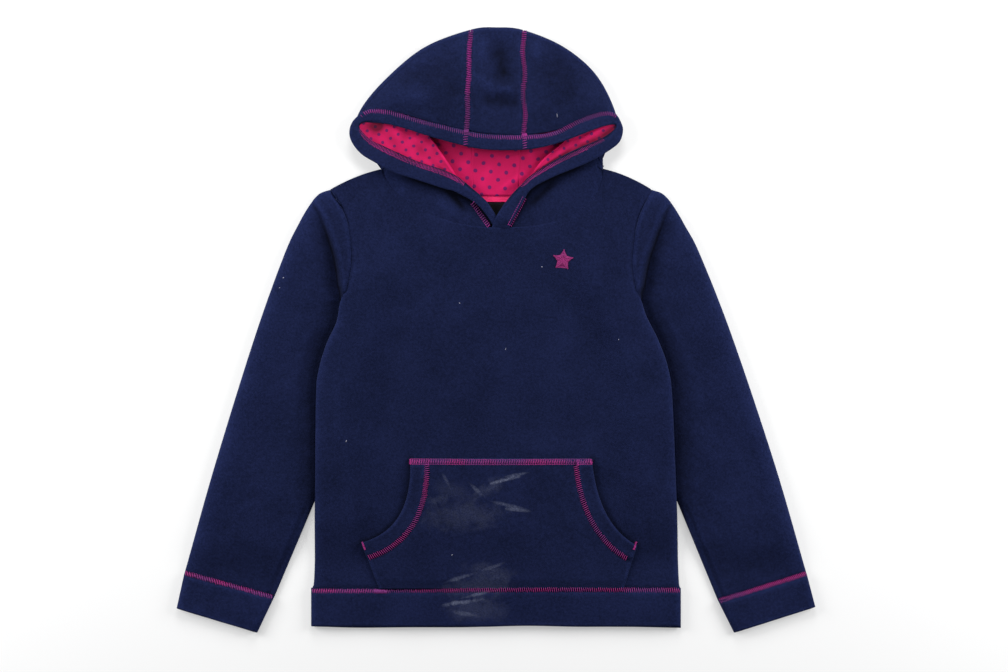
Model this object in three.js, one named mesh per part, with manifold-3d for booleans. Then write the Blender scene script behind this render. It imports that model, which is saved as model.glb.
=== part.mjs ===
// A child's fleece pullover hoodie, laid flat on its back with the hood mouth facing up.
//
// Frame: millimetres, +Z up, the surface it lies on is z = 0. +Y points to the crown of the hood and
// -Y to the hem, +X to the viewer's right. The origin is the middle of the garment's outline, on the
// surface. Every panel is a wall of real cloth thickness, and neighbours stay SEAM apart.
import * as THREE from "three";
import { mergeVertices } from "three/addons/utils/BufferGeometryUtils.js";
import Module from "manifold-3d";

const wasm = await Module();
wasm.setup();

// ---------------------------------------------------------------- driving dimensions
const FLEECE = 2.4; // one ply of outer fleece
const DOUBLE = 4.8; // fleece turned or folded double: waistband, cuffs
const JERSEY = 1.2; // one ply of hood lining
const SEAM = 0.3; // clearance between two pieces sewn together
const HEM_PLY = 5; // thickness of the turned hem round the hood mouth

const HEM_SEAM_Y = -270.6; // where the waistband joins the body
const WAISTBAND = { halfWidth: 193.7, bottomY: -310.8 };
const SHOULDER_Y = 147; // height of the shoulder tips
const NECK_Y = 169; // height of the side neck points
const FRONT_NECK_DROP = 61.5;
const BACK_NECK_DROP = 27.5;
const ARMHOLE_GAP = 1.9; // clearance of the curved armhole seam
const NECK_GAP = 1.4; // clearance of the curved neckline seam
const TUCK_LIFT = 7; // how far the body's side rides up on the sleeve tucked under it
const BODY_AIR = 2.6; // extra air between front and back at the middle of the body
const HEM_AIR = 3.3; // air where the front panel steps up to the waistband
const SLEEVE_AIR = 1.1; // air inside the flattened sleeve at its edges
const SLEEVE_CROWN = 2.2; // extra air along the middle of the sleeve

const HOOD = {
  centreY: 208,
  rise: 109, // from the corners of the mouth up to the crown
  noseRadius: 5, // half thickness of the hood where it folds round at its outline
  neckRadius: 3.4, // and where its side folds down to the neck
  bulge: 4.5, // how far the crown swells above a straight line from mouth to outline
};

// Each side's own sizes. sign is -1 for the side at -X and +1 for the side at +X.
// Outlines run from the hem up, or from the shoulder down.
const SIDES = {
  left: {
    sign: -1,
    neckX: 118,
    neckRoundness: 1.8,
    shoulderX: 173.8,
    bodyEdge: [
      { x: 191.1, y: HEM_SEAM_Y },
      { x: 191.6, y: -178 },
      { x: 190.6, y: -73 },
      { x: 188, y: -44 },
      { x: 179, y: -15 },
      { x: 168.5, y: 8 },
      { x: 164.5, y: 28 },
      { x: 157, y: 46 },
      { x: 152.3, y: 71 },
      { x: 153.8, y: 97 },
      { x: 159.5, y: 122 },
      { x: 173.8, y: SHOULDER_Y },
    ],
    sleeveOuter: [
      { x: 173.8, y: SHOULDER_Y },
      { x: 195.8, y: 130 },
      { x: 214.7, y: 94 },
      { x: 252.5, y: -6 },
      { x: 294.5, y: -141 },
      { x: 326.6, y: -255 },
    ],
    sleeveInner: [
      { x: 161, y: -47 },
      { x: 164.5, y: -95 },
      { x: 175, y: -137 },
      { x: 191.6, y: -178 },
      { x: 232.1, y: -279.3 },
    ],
    cuffOuter: { x: 334.6, y: -291.5 },
    cuffInner: { x: 250, y: -317 },
    hoodReach: 153,
    hoodRoundness: 1.65,
    pocket: { topX: 89.8, waist: { x: 92, y: -198 }, tip: { x: 141, y: -222 }, footX: 122.3 },
  },
  right: {
    sign: 1,
    neckX: 111.8,
    neckRoundness: 2.4,
    shoulderX: 163.3,
    bodyEdge: [
      { x: 191.6, y: HEM_SEAM_Y },
      { x: 189.5, y: -178 },
      { x: 185, y: -73 },
      { x: 180.6, y: -40 },
      { x: 169.6, y: -10 },
      { x: 158, y: 13 },
      { x: 151.7, y: 30 },
      { x: 145.4, y: 43 },
      { x: 140.2, y: 67 },
      { x: 141.8, y: 90 },
      { x: 147.5, y: 119 },
      { x: 163.3, y: SHOULDER_Y },
    ],
    sleeveOuter: [
      { x: 163.3, y: SHOULDER_Y },
      { x: 185.3, y: 130 },
      { x: 206.3, y: 94 },
      { x: 247.3, y: -6 },
      { x: 292.4, y: -141 },
      { x: 325.5, y: -255 },
    ],
    sleeveInner: [
      { x: 158, y: -47 },
      { x: 161.2, y: -95 },
      { x: 172, y: -137 },
      { x: 190, y: -180 },
      { x: 232.6, y: -283.5 },
    ],
    cuffOuter: { x: 334.6, y: -290 },
    cuffInner: { x: 249.4, y: -317 },
    hoodReach: 131.5,
    hoodRoundness: 1.8,
    pocket: { topX: 100.3, waist: { x: 102, y: -193 }, tip: { x: 147.5, y: -225 }, footX: 133.9 },
  },
};
const POCKET_TOP_Y = -134.4;

// The turned hem, from the left end at the front neck, round the mouth, to the right end, which
// crosses over the left. x, y is the middle of the band, z its mid height, width its visible width.
const HEM_PATH = [
  { x: -6.5, y: 114.5, z: 8.6, width: 13 },
  { x: -19.4, y: 132.3, z: 9.6, width: 15 },
  { x: -40.4, y: 150.2, z: 11.4, width: 16 },
  { x: -69.8, y: 162.2, z: 13, width: 20 },
  { x: -101.3, y: 173.8, z: 13.2, width: 20 },
  { x: -130.7, y: 189, z: 11.6, width: 18 },
  { x: -146.5, y: 206.9, z: 9.7, width: 12.5 },
  { x: -137, y: 222.1, z: 10.4, width: 14 },
  { x: -101.3, y: 218.4, z: 13.6, width: 16 },
  { x: -69.8, y: 209, z: 17, width: 17 },
  { x: -31, y: 199, z: 19.6, width: 17 },
  { x: 0.5, y: 195.3, z: 20, width: 17 },
  { x: 31, y: 195.8, z: 19.6, width: 16 },
  { x: 66.7, y: 202.7, z: 17, width: 16 },
  { x: 98.2, y: 216.8, z: 12.8, width: 16 },
  { x: 117.1, y: 222.6, z: 10.4, width: 14 },
  { x: 126.3, y: 209, z: 9.7, width: 11.5 },
  { x: 111.8, y: 191.1, z: 11.6, width: 16 },
  { x: 82.4, y: 178.5, z: 13.2, width: 18 },
  { x: 50.9, y: 165.9, z: 13.6, width: 17 },
  { x: 26.8, y: 148.1, z: 13.4, width: 15 },
  { x: 8.9, y: 129.2, z: 13.8, width: 15 },
  { x: -3, y: 113.4, z: 13.9, width: 15 },
];

// Ribs of the hood's shell, from the left side of the neck over the crown to the right side. Each
// rib starts at the mouth, runs out to the fold at the outline, and back along the surface to
// backX on the back neckline. hemRow names the row of HEM_PATH that it starts from.
const HOOD_RIBS = [
  { rim: { x: -113, y: 180, z: 6 }, fold: { x: -121, y: 173 }, backX: -116, radius: HOOD.neckRadius },
  { rim: { x: -122, y: 197, z: 6.2 }, fold: { x: -134, y: 189 }, backX: -112, radius: HOOD.neckRadius },
  { rim: { x: -138, y: 212, z: 6.6 }, fold: { x: -151, y: 208 }, backX: -107, radius: HOOD.neckRadius },
  { hemRow: 7, foldX: -147, backX: -100, radius: 4.2 },
  { hemRow: 8, foldX: -118, backX: -82, radius: HOOD.noseRadius },
  { hemRow: 9, foldX: -76, backX: -54, radius: HOOD.noseRadius },
  { hemRow: 10, foldX: -26.8, backX: -24, radius: HOOD.noseRadius },
  { hemRow: 11, foldX: 0, backX: 0, radius: HOOD.noseRadius },
  { hemRow: 12, foldX: 28.6, backX: 24, radius: HOOD.noseRadius },
  { hemRow: 13, foldX: 70, backX: 52, radius: HOOD.noseRadius },
  { hemRow: 14, foldX: 104, backX: 78, radius: HOOD.noseRadius },
  { hemRow: 15, foldX: 127, backX: 95, radius: 4.2 },
  { rim: { x: 118, y: 212, z: 6.6 }, fold: { x: 129.5, y: 208 }, backX: 101, radius: HOOD.neckRadius },
  { rim: { x: 108, y: 197, z: 6.2 }, fold: { x: 118, y: 189 }, backX: 106, radius: HOOD.neckRadius },
  { rim: { x: 106, y: 180, z: 6 }, fold: { x: 114, y: 173 }, backX: 110, radius: HOOD.neckRadius },
];
const LEFT_SEAM_RIB = 6;
const RIGHT_SEAM_RIB = 8;

// The fronts of the hood turn back on themselves like lapels. Each row crosses one from its roll
// line, at roll, out to its edge. An edge without a y lies on the front neckline. low is the
// underside at the roll and plies the cloth there.
const LAPELS = {
  left: [
    { roll: { x: -9, y: 117 }, edge: { x: -13 }, low: 3.8, plies: 1 },
    { roll: { x: -19, y: 133 }, edge: { x: -34 }, low: 4.3, plies: 1 },
    { roll: { x: -41, y: 161 }, edge: { x: -60 }, low: 4.6, plies: 1.6 },
    { roll: { x: -48, y: 172 }, edge: { x: -84 }, low: 4.6, plies: 1.9 },
    { roll: { x: -56, y: 184 }, edge: { x: -104 }, low: 4.6, plies: 1.9 },
    { roll: { x: -63, y: 195 }, edge: { x: -121, y: 173 }, low: 4.6, plies: 1.8 },
    { roll: { x: -68, y: 207 }, edge: { x: -140, y: 200 }, low: 4.6, plies: 1.6 },
  ],
  right: [
    { roll: { x: 8, y: 118 }, edge: { x: 13 }, low: 7.6, plies: 1 },
    { roll: { x: 19, y: 133 }, edge: { x: 34 }, low: 7.6, plies: 1 },
    { roll: { x: 38, y: 163 }, edge: { x: 58 }, low: 5.4, plies: 1.8 },
    { roll: { x: 46, y: 175 }, edge: { x: 80 }, low: 4.6, plies: 1.9 },
    { roll: { x: 53, y: 185 }, edge: { x: 98 }, low: 4.6, plies: 1.9 },
    { roll: { x: 60, y: 194 }, edge: { x: 113, y: 173 }, low: 4.6, plies: 1.8 },
    { roll: { x: 66, y: 205 }, edge: { x: 122, y: 200 }, low: 4.6, plies: 1.6 },
  ],
};
const STAR = { centre: { x: 70, y: 73 }, reach: 11.5, waist: 5.2, lean: -0.14, thickness: 0.8 };
const NECK_TAPE = { halfWidth: 62, height: 7, thickness: 0.8 };
const LABEL = { centreX: 1.5, topY: 133.6, width: 40, height: 22, thickness: 0.6 };

const COLOURS = {
  navy: 0x1a2148,
  pink: 0xd0185c,
  thread: 0xb8308a,
  black: 0x0c0c10,
};

// ---------------------------------------------------------------- small maths
const { clamp, lerp } = THREE.MathUtils;
const range = (count) => Array.from({ length: count + 1 }, (_, i) => i / count);

// 0 before a, 1 after b and smooth between them. b may lie below a.
function ease(a, b, value) {
  const t = clamp((value - a) / (b - a), 0, 1);
  return t * t * (3 - 2 * t);
}

// A smooth curve through a side's outline points, from 0 to 1 by length.
function outline(side, points) {
  const curve = new THREE.SplineCurve(points.map((p) => new THREE.Vector2(side.sign * p.x, p.y)));
  curve.arcLengthDivisions = 400;
  return (t) => curve.getPointAt(clamp(t, 0, 1));
}

function line(a, b) {
  return (t) => new THREE.Vector2(lerp(a.x, b.x, t), lerp(a.y, b.y, t));
}

// The point of a four-sided patch at (u, v), from its four edges: bottom and top run with u, left
// and right run with v.
function coons(bottom, top, left, right) {
  const corner = [bottom(0), bottom(1), top(0), top(1)];
  return (u, v) => {
    const [low, high] = [bottom(u), top(u)];
    const [first, last] = [left(v), right(v)];
    const mix = (key) =>
      lerp(low[key], high[key], v) +
      lerp(first[key], last[key], u) -
      lerp(lerp(corner[0][key], corner[1][key], u), lerp(corner[2][key], corner[3][key], u), v);
    return new THREE.Vector2(mix("x"), mix("y"));
  };
}

// x of a side's body edge at height y, always positive.
function edgeX(side, y) {
  const points = side.bodyEdge;
  const next = Math.max(1, points.findIndex((p) => p.y >= y));
  const below = points[next - 1];
  const above = points[next];
  return lerp(below.x, above.x, clamp((y - below.y) / (above.y - below.y), 0, 1));
}

const sideOf = (x) => (x < 0 ? SIDES.left : SIDES.right);

// Height of a neckline at x: a superellipse that hangs between the two side neck points.
function necklineY(x, drop) {
  const side = sideOf(x);
  const n = side.neckRoundness;
  const share = clamp(Math.abs(x) / side.neckX, 0, 1);
  return NECK_Y - drop * (1 - share ** n) ** (1 / n);
}

// ---------------------------------------------------------------- closed walls
// A closed geometry from vertices and quads, turned so that its faces point out.
function closedGeometry(vertices, quads) {
  const triangles = quads.flatMap(([a, b, c, d]) => [a, b, c, a, c, d]);
  let volume = 0;
  for (let i = 0; i < triangles.length; i += 3) {
    const [a, b, c] = [0, 1, 2].map((k) => vertices[triangles[i + k]]);
    volume += a.dot(new THREE.Vector3().crossVectors(b, c));
  }
  if (volume < 0)
    for (let i = 0; i < triangles.length; i += 3)
      [triangles[i + 1], triangles[i + 2]] = [triangles[i + 2], triangles[i + 1]];
  const geometry = new THREE.BufferGeometry().setFromPoints(vertices);
  geometry.setIndex(triangles);
  return geometry;
}

// A wall between two grids of points, upper[i][j] over lower[i][j]. With loop set, j runs round a
// closed ring, so the wall is a tube that is open at both ends.
function wall(upper, lower, loop = false) {
  const rows = upper.length;
  const columns = upper[0].length;
  const vertices = [...upper.flat(), ...lower.flat()];
  const at = (face, i, j) => face * rows * columns + i * columns + (j % columns);
  const quads = [];
  const lastJ = loop ? columns : columns - 1;
  const end = rows - 1;
  for (let i = 0; i < rows - 1; i++)
    for (let j = 0; j < lastJ; j++) {
      quads.push([at(0, i, j), at(0, i, j + 1), at(0, i + 1, j + 1), at(0, i + 1, j)]);
      quads.push([at(1, i, j), at(1, i + 1, j), at(1, i + 1, j + 1), at(1, i, j + 1)]);
    }
  for (let j = 0; j < lastJ; j++) {
    quads.push([at(0, 0, j), at(1, 0, j), at(1, 0, j + 1), at(0, 0, j + 1)]);
    quads.push([at(0, end, j), at(0, end, j + 1), at(1, end, j + 1), at(1, end, j)]);
  }
  if (!loop)
    for (let i = 0; i < rows - 1; i++) {
      quads.push([at(0, i, 0), at(0, i + 1, 0), at(1, i + 1, 0), at(1, i, 0)]);
      quads.push([at(0, i, lastJ), at(1, i, lastJ), at(1, i + 1, lastJ), at(0, i + 1, lastJ)]);
    }
  return closedGeometry(vertices, quads);
}

// A ply of cloth over a patch: its underside is at low(x, y) and it is as thick as ply.
function plyOver(patch, us, vs, low, ply) {
  const grid = (raise) =>
    vs.map((v) =>
      us.map((u) => {
        const p = patch(u, v);
        return new THREE.Vector3(p.x, p.y, low(p.x, p.y) + raise);
      }),
    );
  return wall(grid(ply), grid(0));
}

// A ply that follows the hood's folded surface, from outer to inner millimetres inside it. Past
// FOLD_TO the surface lies flat, and inside it is straight up.
function foldedPly(surface, us, vs, outer, inner) {
  const grid = vs.map((v) => us.map((u) => surface(u, v)));
  const at = (i, j) => grid[clamp(i, 0, vs.length - 1)][clamp(j, 0, us.length - 1)];
  const offset = (depth) =>
    grid.map((row, i) =>
      row.map((point, j) => {
        const along = new THREE.Vector3().subVectors(at(i, j + 1), at(i, j - 1));
        const across = new THREE.Vector3().subVectors(at(i + 1, j), at(i - 1, j));
        const inward = vs[i] < FOLD_TO ? across.cross(along).normalize() : new THREE.Vector3(0, 0, 1);
        return point.clone().addScaledVector(inward, depth);
      }),
    );
  return wall(offset(outer), offset(inner));
}

function solid(geometry) {
  const bare = mergeVertices(new THREE.BufferGeometry()
    .setAttribute("position", geometry.getAttribute("position"))
    .setIndex(geometry.index), 1e-4);
  return new wasm.Manifold(new wasm.Mesh({
    numProp: 3,
    vertProperties: bare.attributes.position.array,
    triVerts: new Uint32Array(bare.index.array),
  }));
}

// The largest single body of a solid, as a geometry.
function geometryOf(manifold) {
  const body = manifold.decompose().sort((a, b) => b.volume() - a.volume())[0];
  const mesh = body.getMesh();
  const geometry = new THREE.BufferGeometry()
    .setAttribute("position", new THREE.BufferAttribute(new Float32Array(mesh.vertProperties), 3));
  geometry.setIndex(new THREE.BufferAttribute(mesh.triVerts, 1));
  return geometry;
}

// ---------------------------------------------------------------- heights of the laid body
// How far a point lies outside the body's edge.
function outside(x, y) {
  return Math.abs(x) - edgeX(sideOf(x), clamp(y, HEM_SEAM_Y, SHOULDER_Y));
}

// Underside of the back panel: it rides up over the sleeves tucked under the body's sides.
function bodyLift(x, y) {
  return TUCK_LIFT * ease(-78, -34, outside(x, y)) * ease(150, 28, y) * ease(-250, -192, y);
}

// Underside of the front panel, above the back panel and the air between them.
function frontLow(x, y) {
  const across = 1 - (Math.abs(x) / 192) ** 4;
  const along = ease(165, 90, y) * ease(-300, -200, y);
  const atHem = ease(-225, HEM_SEAM_Y, y);
  const air = lerp(SEAM + BODY_AIR * Math.max(0, across) * along, HEM_AIR, atHem);
  return bodyLift(x, y) + FLEECE + air;
}
const frontTop = (x, y) => frontLow(x, y) + FLEECE;

// ---------------------------------------------------------------- body panels
const BODY_COLUMNS = range(16);
const BODY_ROWS = range(16);
const SHOULDER_FROM = 14 / 16; // share of a panel's side where the armhole ends and the shoulder starts

// A body panel's side: up the side seam and the armhole, then in along the shoulder to the neck.
function bodySide(side) {
  const seam = outline(side, side.bodyEdge);
  const tip = { x: side.sign * side.shoulderX, y: SHOULDER_Y };
  const shoulder = line(tip, { x: side.sign * side.neckX, y: NECK_Y });
  const onShoulder = (v) => (v - SHOULDER_FROM) / (1 - SHOULDER_FROM);
  return (v) => (v < SHOULDER_FROM ? seam(v / SHOULDER_FROM) : shoulder(onShoulder(v)));
}

// The plan of a body panel: the neckline along the top, the waistband seam along the bottom. raise
// makes the neck opening smaller.
function bodyPatch(neckDrop, raise) {
  const { left, right } = SIDES;
  // Even steps of angle keep the steep ends of the neckline smooth.
  const top = (u) => {
    const x = -Math.cos(Math.PI * u) * (u < 0.5 ? left.neckX : right.neckX);
    return new THREE.Vector2(x, necklineY(x, neckDrop));
  };
  const bottom = line(
    { x: -left.bodyEdge[0].x, y: HEM_SEAM_Y },
    { x: right.bodyEdge[0].x, y: HEM_SEAM_Y },
  );
  const patch = coons(bottom, top, bodySide(left), bodySide(right));
  const narrowing = 1 - raise / right.neckX;
  return (u, v) => {
    const p = patch(u, v);
    return new THREE.Vector2(p.x * lerp(1, narrowing, v), p.y + raise * v);
  };
}

// A body panel over low(x, y). grow thickens it all round, to carve its neighbours.
function bodyPanel(neckDrop, low, grow = 0) {
  const patch = bodyPatch(neckDrop, 2 * grow);
  return plyOver(patch, BODY_COLUMNS, BODY_ROWS, (x, y) => low(x, y) - grow, FLEECE + 2 * grow);
}

const frontPanel = (grow) => bodyPanel(FRONT_NECK_DROP, frontLow, grow);
const backPanel = (grow) => bodyPanel(BACK_NECK_DROP, bodyLift, grow);

// ---------------------------------------------------------------- flattened tubes
// A flattened tube of cloth over a patch: u crosses it from fold to fold, v runs along it.
// base(x, y) is its underside and height(u, v, x, y) its whole thickness; edge is the thickness at
// the folds, where the section is a half circle.
function flatTube(patch, vs, { ply, edge, base, height, across = 6 }) {
  const radius = edge / 2;
  const turn = [1, 2, 3].map((k) => (Math.PI * k) / 4);
  const stations = (shrink) =>
    vs.map((v) => {
      const width = patch(0, v).distanceTo(patch(1, v));
      const bend = radius - shrink;
      const point = (distance, up) => {
        const u = distance / width;
        const p = patch(u, v);
        const full = height(clamp(u, 0, 1), v, p.x, p.y);
        return new THREE.Vector3(p.x, p.y, base(p.x, p.y) + up(full));
      };
      const turned = (side, a) =>
        point(
          (side > 0 ? width : 0) + side * (bend * Math.sin(a) - radius),
          (full) => full / 2 + side * bend * Math.cos(a),
        );
      const flat = range(across).map((t) => radius + (width - 2 * radius) * t);
      return [
        ...flat.map((d) => point(d, (full) => full - shrink)),
        ...turn.map((a) => turned(1, a)),
        ...[...flat].reverse().map((d) => point(d, () => shrink)),
        ...turn.map((a) => turned(-1, a)),
      ];
    });
  return wall(stations(0), stations(ply), true);
}

// ---------------------------------------------------------------- sleeves and cuffs
const SLEEVE_EDGE = 2 * FLEECE + SLEEVE_AIR;
const CUFF_EDGE = 2 * DOUBLE + 0.6;

// The sleeve's underside: level with the body along the armhole seam, then folded down to the
// surface, and flat on the surface where it is tucked under the body.
function sleeveBase(side) {
  return (x, y) => {
    const foldAt = 14 * ease(28, 90, y);
    const atSeam = bodyLift(side.sign * edgeX(side, y), y) * ease(38, 72, y);
    return atSeam * ease(foldAt + 12, foldAt, outside(x, y));
  };
}

function sleevePatch(side) {
  const armhole = side.bodyEdge
    .filter((p) => p.y > 20)
    .reverse()
    .map((p) => ({ x: p.x + ARMHOLE_GAP, y: p.y }));
  const tucked = [...armhole.slice(0, -1), { x: armhole.at(-1).x, y: 28 }, side.sleeveInner[0]];
  const outer = side.sleeveOuter.at(-1), inner = side.sleeveInner.at(-1);
  const cuffSeam = line({ x: side.sign * outer.x, y: outer.y }, { x: side.sign * inner.x, y: inner.y });
  const start = [{ x: side.shoulderX + ARMHOLE_GAP, y: SHOULDER_Y }, ...side.sleeveOuter.slice(1)];
  return coons(outline(side, tucked), cuffSeam, outline(side, start), outline(side, side.sleeveInner));
}

const SLEEVE_STATIONS = [0, 0.04, 0.1, 0.2, 0.35, 0.55, 0.75, 0.92, 1];

function sleeve(side) {
  const height = (u, v, x, y) =>
    SLEEVE_EDGE +
    SLEEVE_CROWN * Math.sin(Math.PI * u) * ease(-2, 25, outside(x, y)) +
    0.8 * ease(0.85, 1, v);
  return flatTube(sleevePatch(side), SLEEVE_STATIONS, {
    ply: FLEECE,
    edge: SLEEVE_EDGE,
    base: sleeveBase(side),
    height,
    across: 12,
  });
}

function cuff(side) {
  const from = (p) => ({ x: side.sign * p.x, y: p.y });
  const [outer, inner] = [side.sleeveOuter.at(-1), side.sleeveInner.at(-1)].map(from);
  const [outerEnd, innerEnd] = [side.cuffOuter, side.cuffInner].map(from);
  const patch = coons(
    line(outer, inner),
    line(outerEnd, innerEnd),
    line(outer, outerEnd),
    line(inner, innerEnd),
  );
  const start = SEAM / Math.hypot(outerEnd.x - outer.x, outerEnd.y - outer.y);
  return flatTube(patch, [start * 2, 0.5, 1], {
    ply: DOUBLE,
    edge: CUFF_EDGE,
    base: () => 0,
    height: () => CUFF_EDGE,
    across: 4,
  });
}

function waistband() {
  const { halfWidth, bottomY } = WAISTBAND;
  const patch = (u, v) =>
    new THREE.Vector2(lerp(-halfWidth, halfWidth, u), lerp(HEM_SEAM_Y - SEAM, bottomY, v));
  return flatTube(patch, [0, 0.5, 1], {
    ply: DOUBLE,
    edge: CUFF_EDGE,
    base: () => 0,
    height: () => CUFF_EDGE,
    across: 12,
  });
}

// ---------------------------------------------------------------- pocket, star
// The kangaroo pocket: its hand openings are quadratic curves from the top corners out to the tips.
function pocket() {
  const edge = (side) => {
    const { topX, waist, tip, footX } = side.pocket;
    const opening = new THREE.QuadraticBezierCurve(
      new THREE.Vector2(side.sign * tip.x, tip.y),
      new THREE.Vector2(side.sign * waist.x, waist.y),
      new THREE.Vector2(side.sign * topX, POCKET_TOP_Y),
    );
    const lower = line({ x: side.sign * footX, y: HEM_SEAM_Y }, { x: side.sign * tip.x, y: tip.y });
    const tipAt = 0.3;
    return (v) => (v < tipAt ? lower(v / tipAt) : opening.getPoint((v - tipAt) / (1 - tipAt)));
  };
  const bottom = line(
    { x: -SIDES.left.pocket.footX, y: HEM_SEAM_Y },
    { x: SIDES.right.pocket.footX, y: HEM_SEAM_Y },
  );
  const top = line(
    { x: -SIDES.left.pocket.topX, y: POCKET_TOP_Y },
    { x: SIDES.right.pocket.topX, y: POCKET_TOP_Y },
  );
  const patch = coons(bottom, top, edge(SIDES.left), edge(SIDES.right));
  return plyOver(patch, range(10), range(8), (x, y) => frontTop(x, y) + 4.5 * SEAM, FLEECE);
}

// A five-pointed star of satin stitch on the chest.
function star() {
  const { centre, reach, waist, lean, thickness } = STAR;
  const patch = (u, v) => {
    const angle = Math.PI / 2 + lean + 2 * Math.PI * u;
    const radius = (Math.round(u * 10) % 2 ? waist : reach) * lerp(0.12, 1, v);
    return new THREE.Vector2(centre.x + radius * Math.cos(angle), centre.y + radius * Math.sin(angle));
  };
  const ring = (raise) =>
    [0, 1].map((v) =>
      range(10).slice(0, -1).map((u) => {
        const p = patch(u, v);
        return new THREE.Vector3(p.x, p.y, frontTop(p.x, p.y) + 2 * SEAM + raise);
      }),
    );
  return wall(ring(thickness), ring(0), true);
}

// ---------------------------------------------------------------- hood
// The hem's path as a curve, and the plan direction away from the mouth at each of its rows.
const hemCurve = new THREE.CatmullRomCurve3(HEM_PATH.map(({ x, y, z }) => new THREE.Vector3(x, y, z)));
const hemLast = HEM_PATH.length - 1;

function hemFrame(t) {
  const centre = hemCurve.getPoint(t);
  const along = hemCurve.getTangent(t);
  const out = new THREE.Vector3(-along.y, along.x, 0).normalize();
  const row = Math.min(Math.floor(t * hemLast), hemLast - 1);
  const width = lerp(HEM_PATH[row].width, HEM_PATH[row + 1].width, t * hemLast - row);
  return { centre, out, width };
}

// The turned hem: a flat band along the path. grow widens it all round, to carve its neighbours.
function hoodHem(grow = 0) {
  const face = (up) =>
    range(2 * hemLast).map((t) => {
      const { centre, out, width } = hemFrame(t);
      return [-1, 0, 1].map((side) => {
        const bevel = side === 0 ? 0 : 0.8;
        return centre.clone()
          .addScaledVector(out, side * (width / 2 + grow))
          .add(new THREE.Vector3(0, 0, up * (HEM_PLY / 2 - bevel + grow)));
      });
    });
  return wall(face(1), face(-1));
}

// The hood's outline above the corners of the mouth: a superellipse, wider on the left.
function crownY(x) {
  const side = sideOf(x);
  const share = Math.min(1, Math.abs(x) / side.hoodReach);
  return HOOD.centreY + HOOD.rise * (1 - share ** side.hoodRoundness) ** (1 / side.hoodRoundness);
}

// Three curves that share the ribs' numbering: where each rib starts, folds and ends.
function ribCurves() {
  const rows = HOOD_RIBS.map(({ rim, hemRow, fold, foldX, backX, radius }) => {
    const start = new THREE.Vector3();
    if (rim) start.copy(rim);
    else {
      const { centre, out, width } = hemFrame(hemRow / hemLast);
      start.copy(centre).addScaledVector(out, width / 2 + 2 * SEAM);
      start.z += FLEECE / 2;
    }
    const turn = fold ?? { x: foldX, y: crownY(foldX) };
    return {
      start,
      turn: new THREE.Vector3(turn.x, turn.y, radius),
      back: new THREE.Vector3(backX, necklineY(backX, BACK_NECK_DROP) + NECK_GAP, 0),
    };
  });
  const through = (key) => new THREE.CatmullRomCurve3(rows.map((row) => row[key]));
  return { start: through("start"), turn: through("turn"), back: through("back") };
}
const RIBS = ribCurves();
const FOLD_FROM = 0.4; // share of v where the shell starts to turn under
const FOLD_TO = 0.6; // and where it lies flat again

// The outer face of the hood's shell: u runs over the ribs, v from the mouth round to the neck.
function hoodShell(u, v) {
  const start = RIBS.start.getPoint(u);
  const turn = RIBS.turn.getPoint(u);
  const back = RIBS.back.getPoint(u);
  const radius = turn.z;
  const out = new THREE.Vector3(turn.x - start.x, turn.y - start.y, 0).normalize();
  const centre = new THREE.Vector3(turn.x, turn.y, 0).addScaledVector(out, -radius);
  if (v <= FOLD_FROM) {
    const t = v / FOLD_FROM;
    const point = new THREE.Vector3().lerpVectors(start, centre, t);
    const reach = clamp(start.distanceTo(centre) / 60, 0, 1);
    point.z = lerp(start.z, 2 * radius, t) + HOOD.bulge * reach * Math.sin(Math.PI * t);
    return point;
  }
  if (v < FOLD_TO) {
    const angle = (Math.PI * (v - FOLD_FROM)) / (FOLD_TO - FOLD_FROM);
    const point = centre.clone().addScaledVector(out, radius * Math.sin(angle));
    point.z = radius * (1 + Math.cos(angle));
    return point;
  }
  return centre.lerp(back, (v - FOLD_TO) / (1 - FOLD_TO));
}

const SHELL_ROWS = [0, 0.13, 0.27, 0.4, 0.45, 0.5, 0.55, 0.6, 1];
const ribSpan = (from, to, steps) => range(steps).map((t) => lerp(from, to, t) / (HOOD_RIBS.length - 1));
const RIB_GAP = 0.02; // clearance of a panel seam, in ribs
const SHELL_SPANS = {
  left: ribSpan(0, LEFT_SEAM_RIB - RIB_GAP, 10),
  centre: ribSpan(LEFT_SEAM_RIB, RIGHT_SEAM_RIB, 4),
  right: ribSpan(RIGHT_SEAM_RIB + RIB_GAP, HOOD_RIBS.length - 1, 10),
};
const LINING_SPANS = {
  left: ribSpan(3, LEFT_SEAM_RIB - RIB_GAP, 6),
  centre: SHELL_SPANS.centre,
  right: ribSpan(RIGHT_SEAM_RIB + RIB_GAP, 11, 6),
};

// A lapel's plan: u runs from the front neck to the corner of the mouth, v from roll to edge.
// from(u, v) gives its point, low(u, v) its underside and thick(u, v) its thickness.
function lapelForm(name) {
  const rows = LAPELS[name];
  const vector = (x, y, z) => new THREE.Vector3(x, y, z);
  const roll = new THREE.CatmullRomCurve3(rows.map((row) => vector(row.roll.x, row.roll.y, row.low)));
  const edge = new THREE.CatmullRomCurve3(rows.map((row) => {
    const y = row.edge.y ?? necklineY(row.edge.x, FRONT_NECK_DROP) + NECK_GAP;
    return vector(row.edge.x, y, row.plies);
  }));
  return {
    from: (u, v) => new THREE.Vector3().lerpVectors(roll.getPoint(u), edge.getPoint(u), v),
    low: (u, v) => {
      const end = edge.getPoint(u);
      return lerp(roll.getPoint(u).z, frontLow(end.x, end.y), ease(0.25, 1, v));
    },
    thick: (u, v) => FLEECE * lerp(edge.getPoint(u).z, 1, ease(0.4, 0.8, v)),
  };
}

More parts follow.
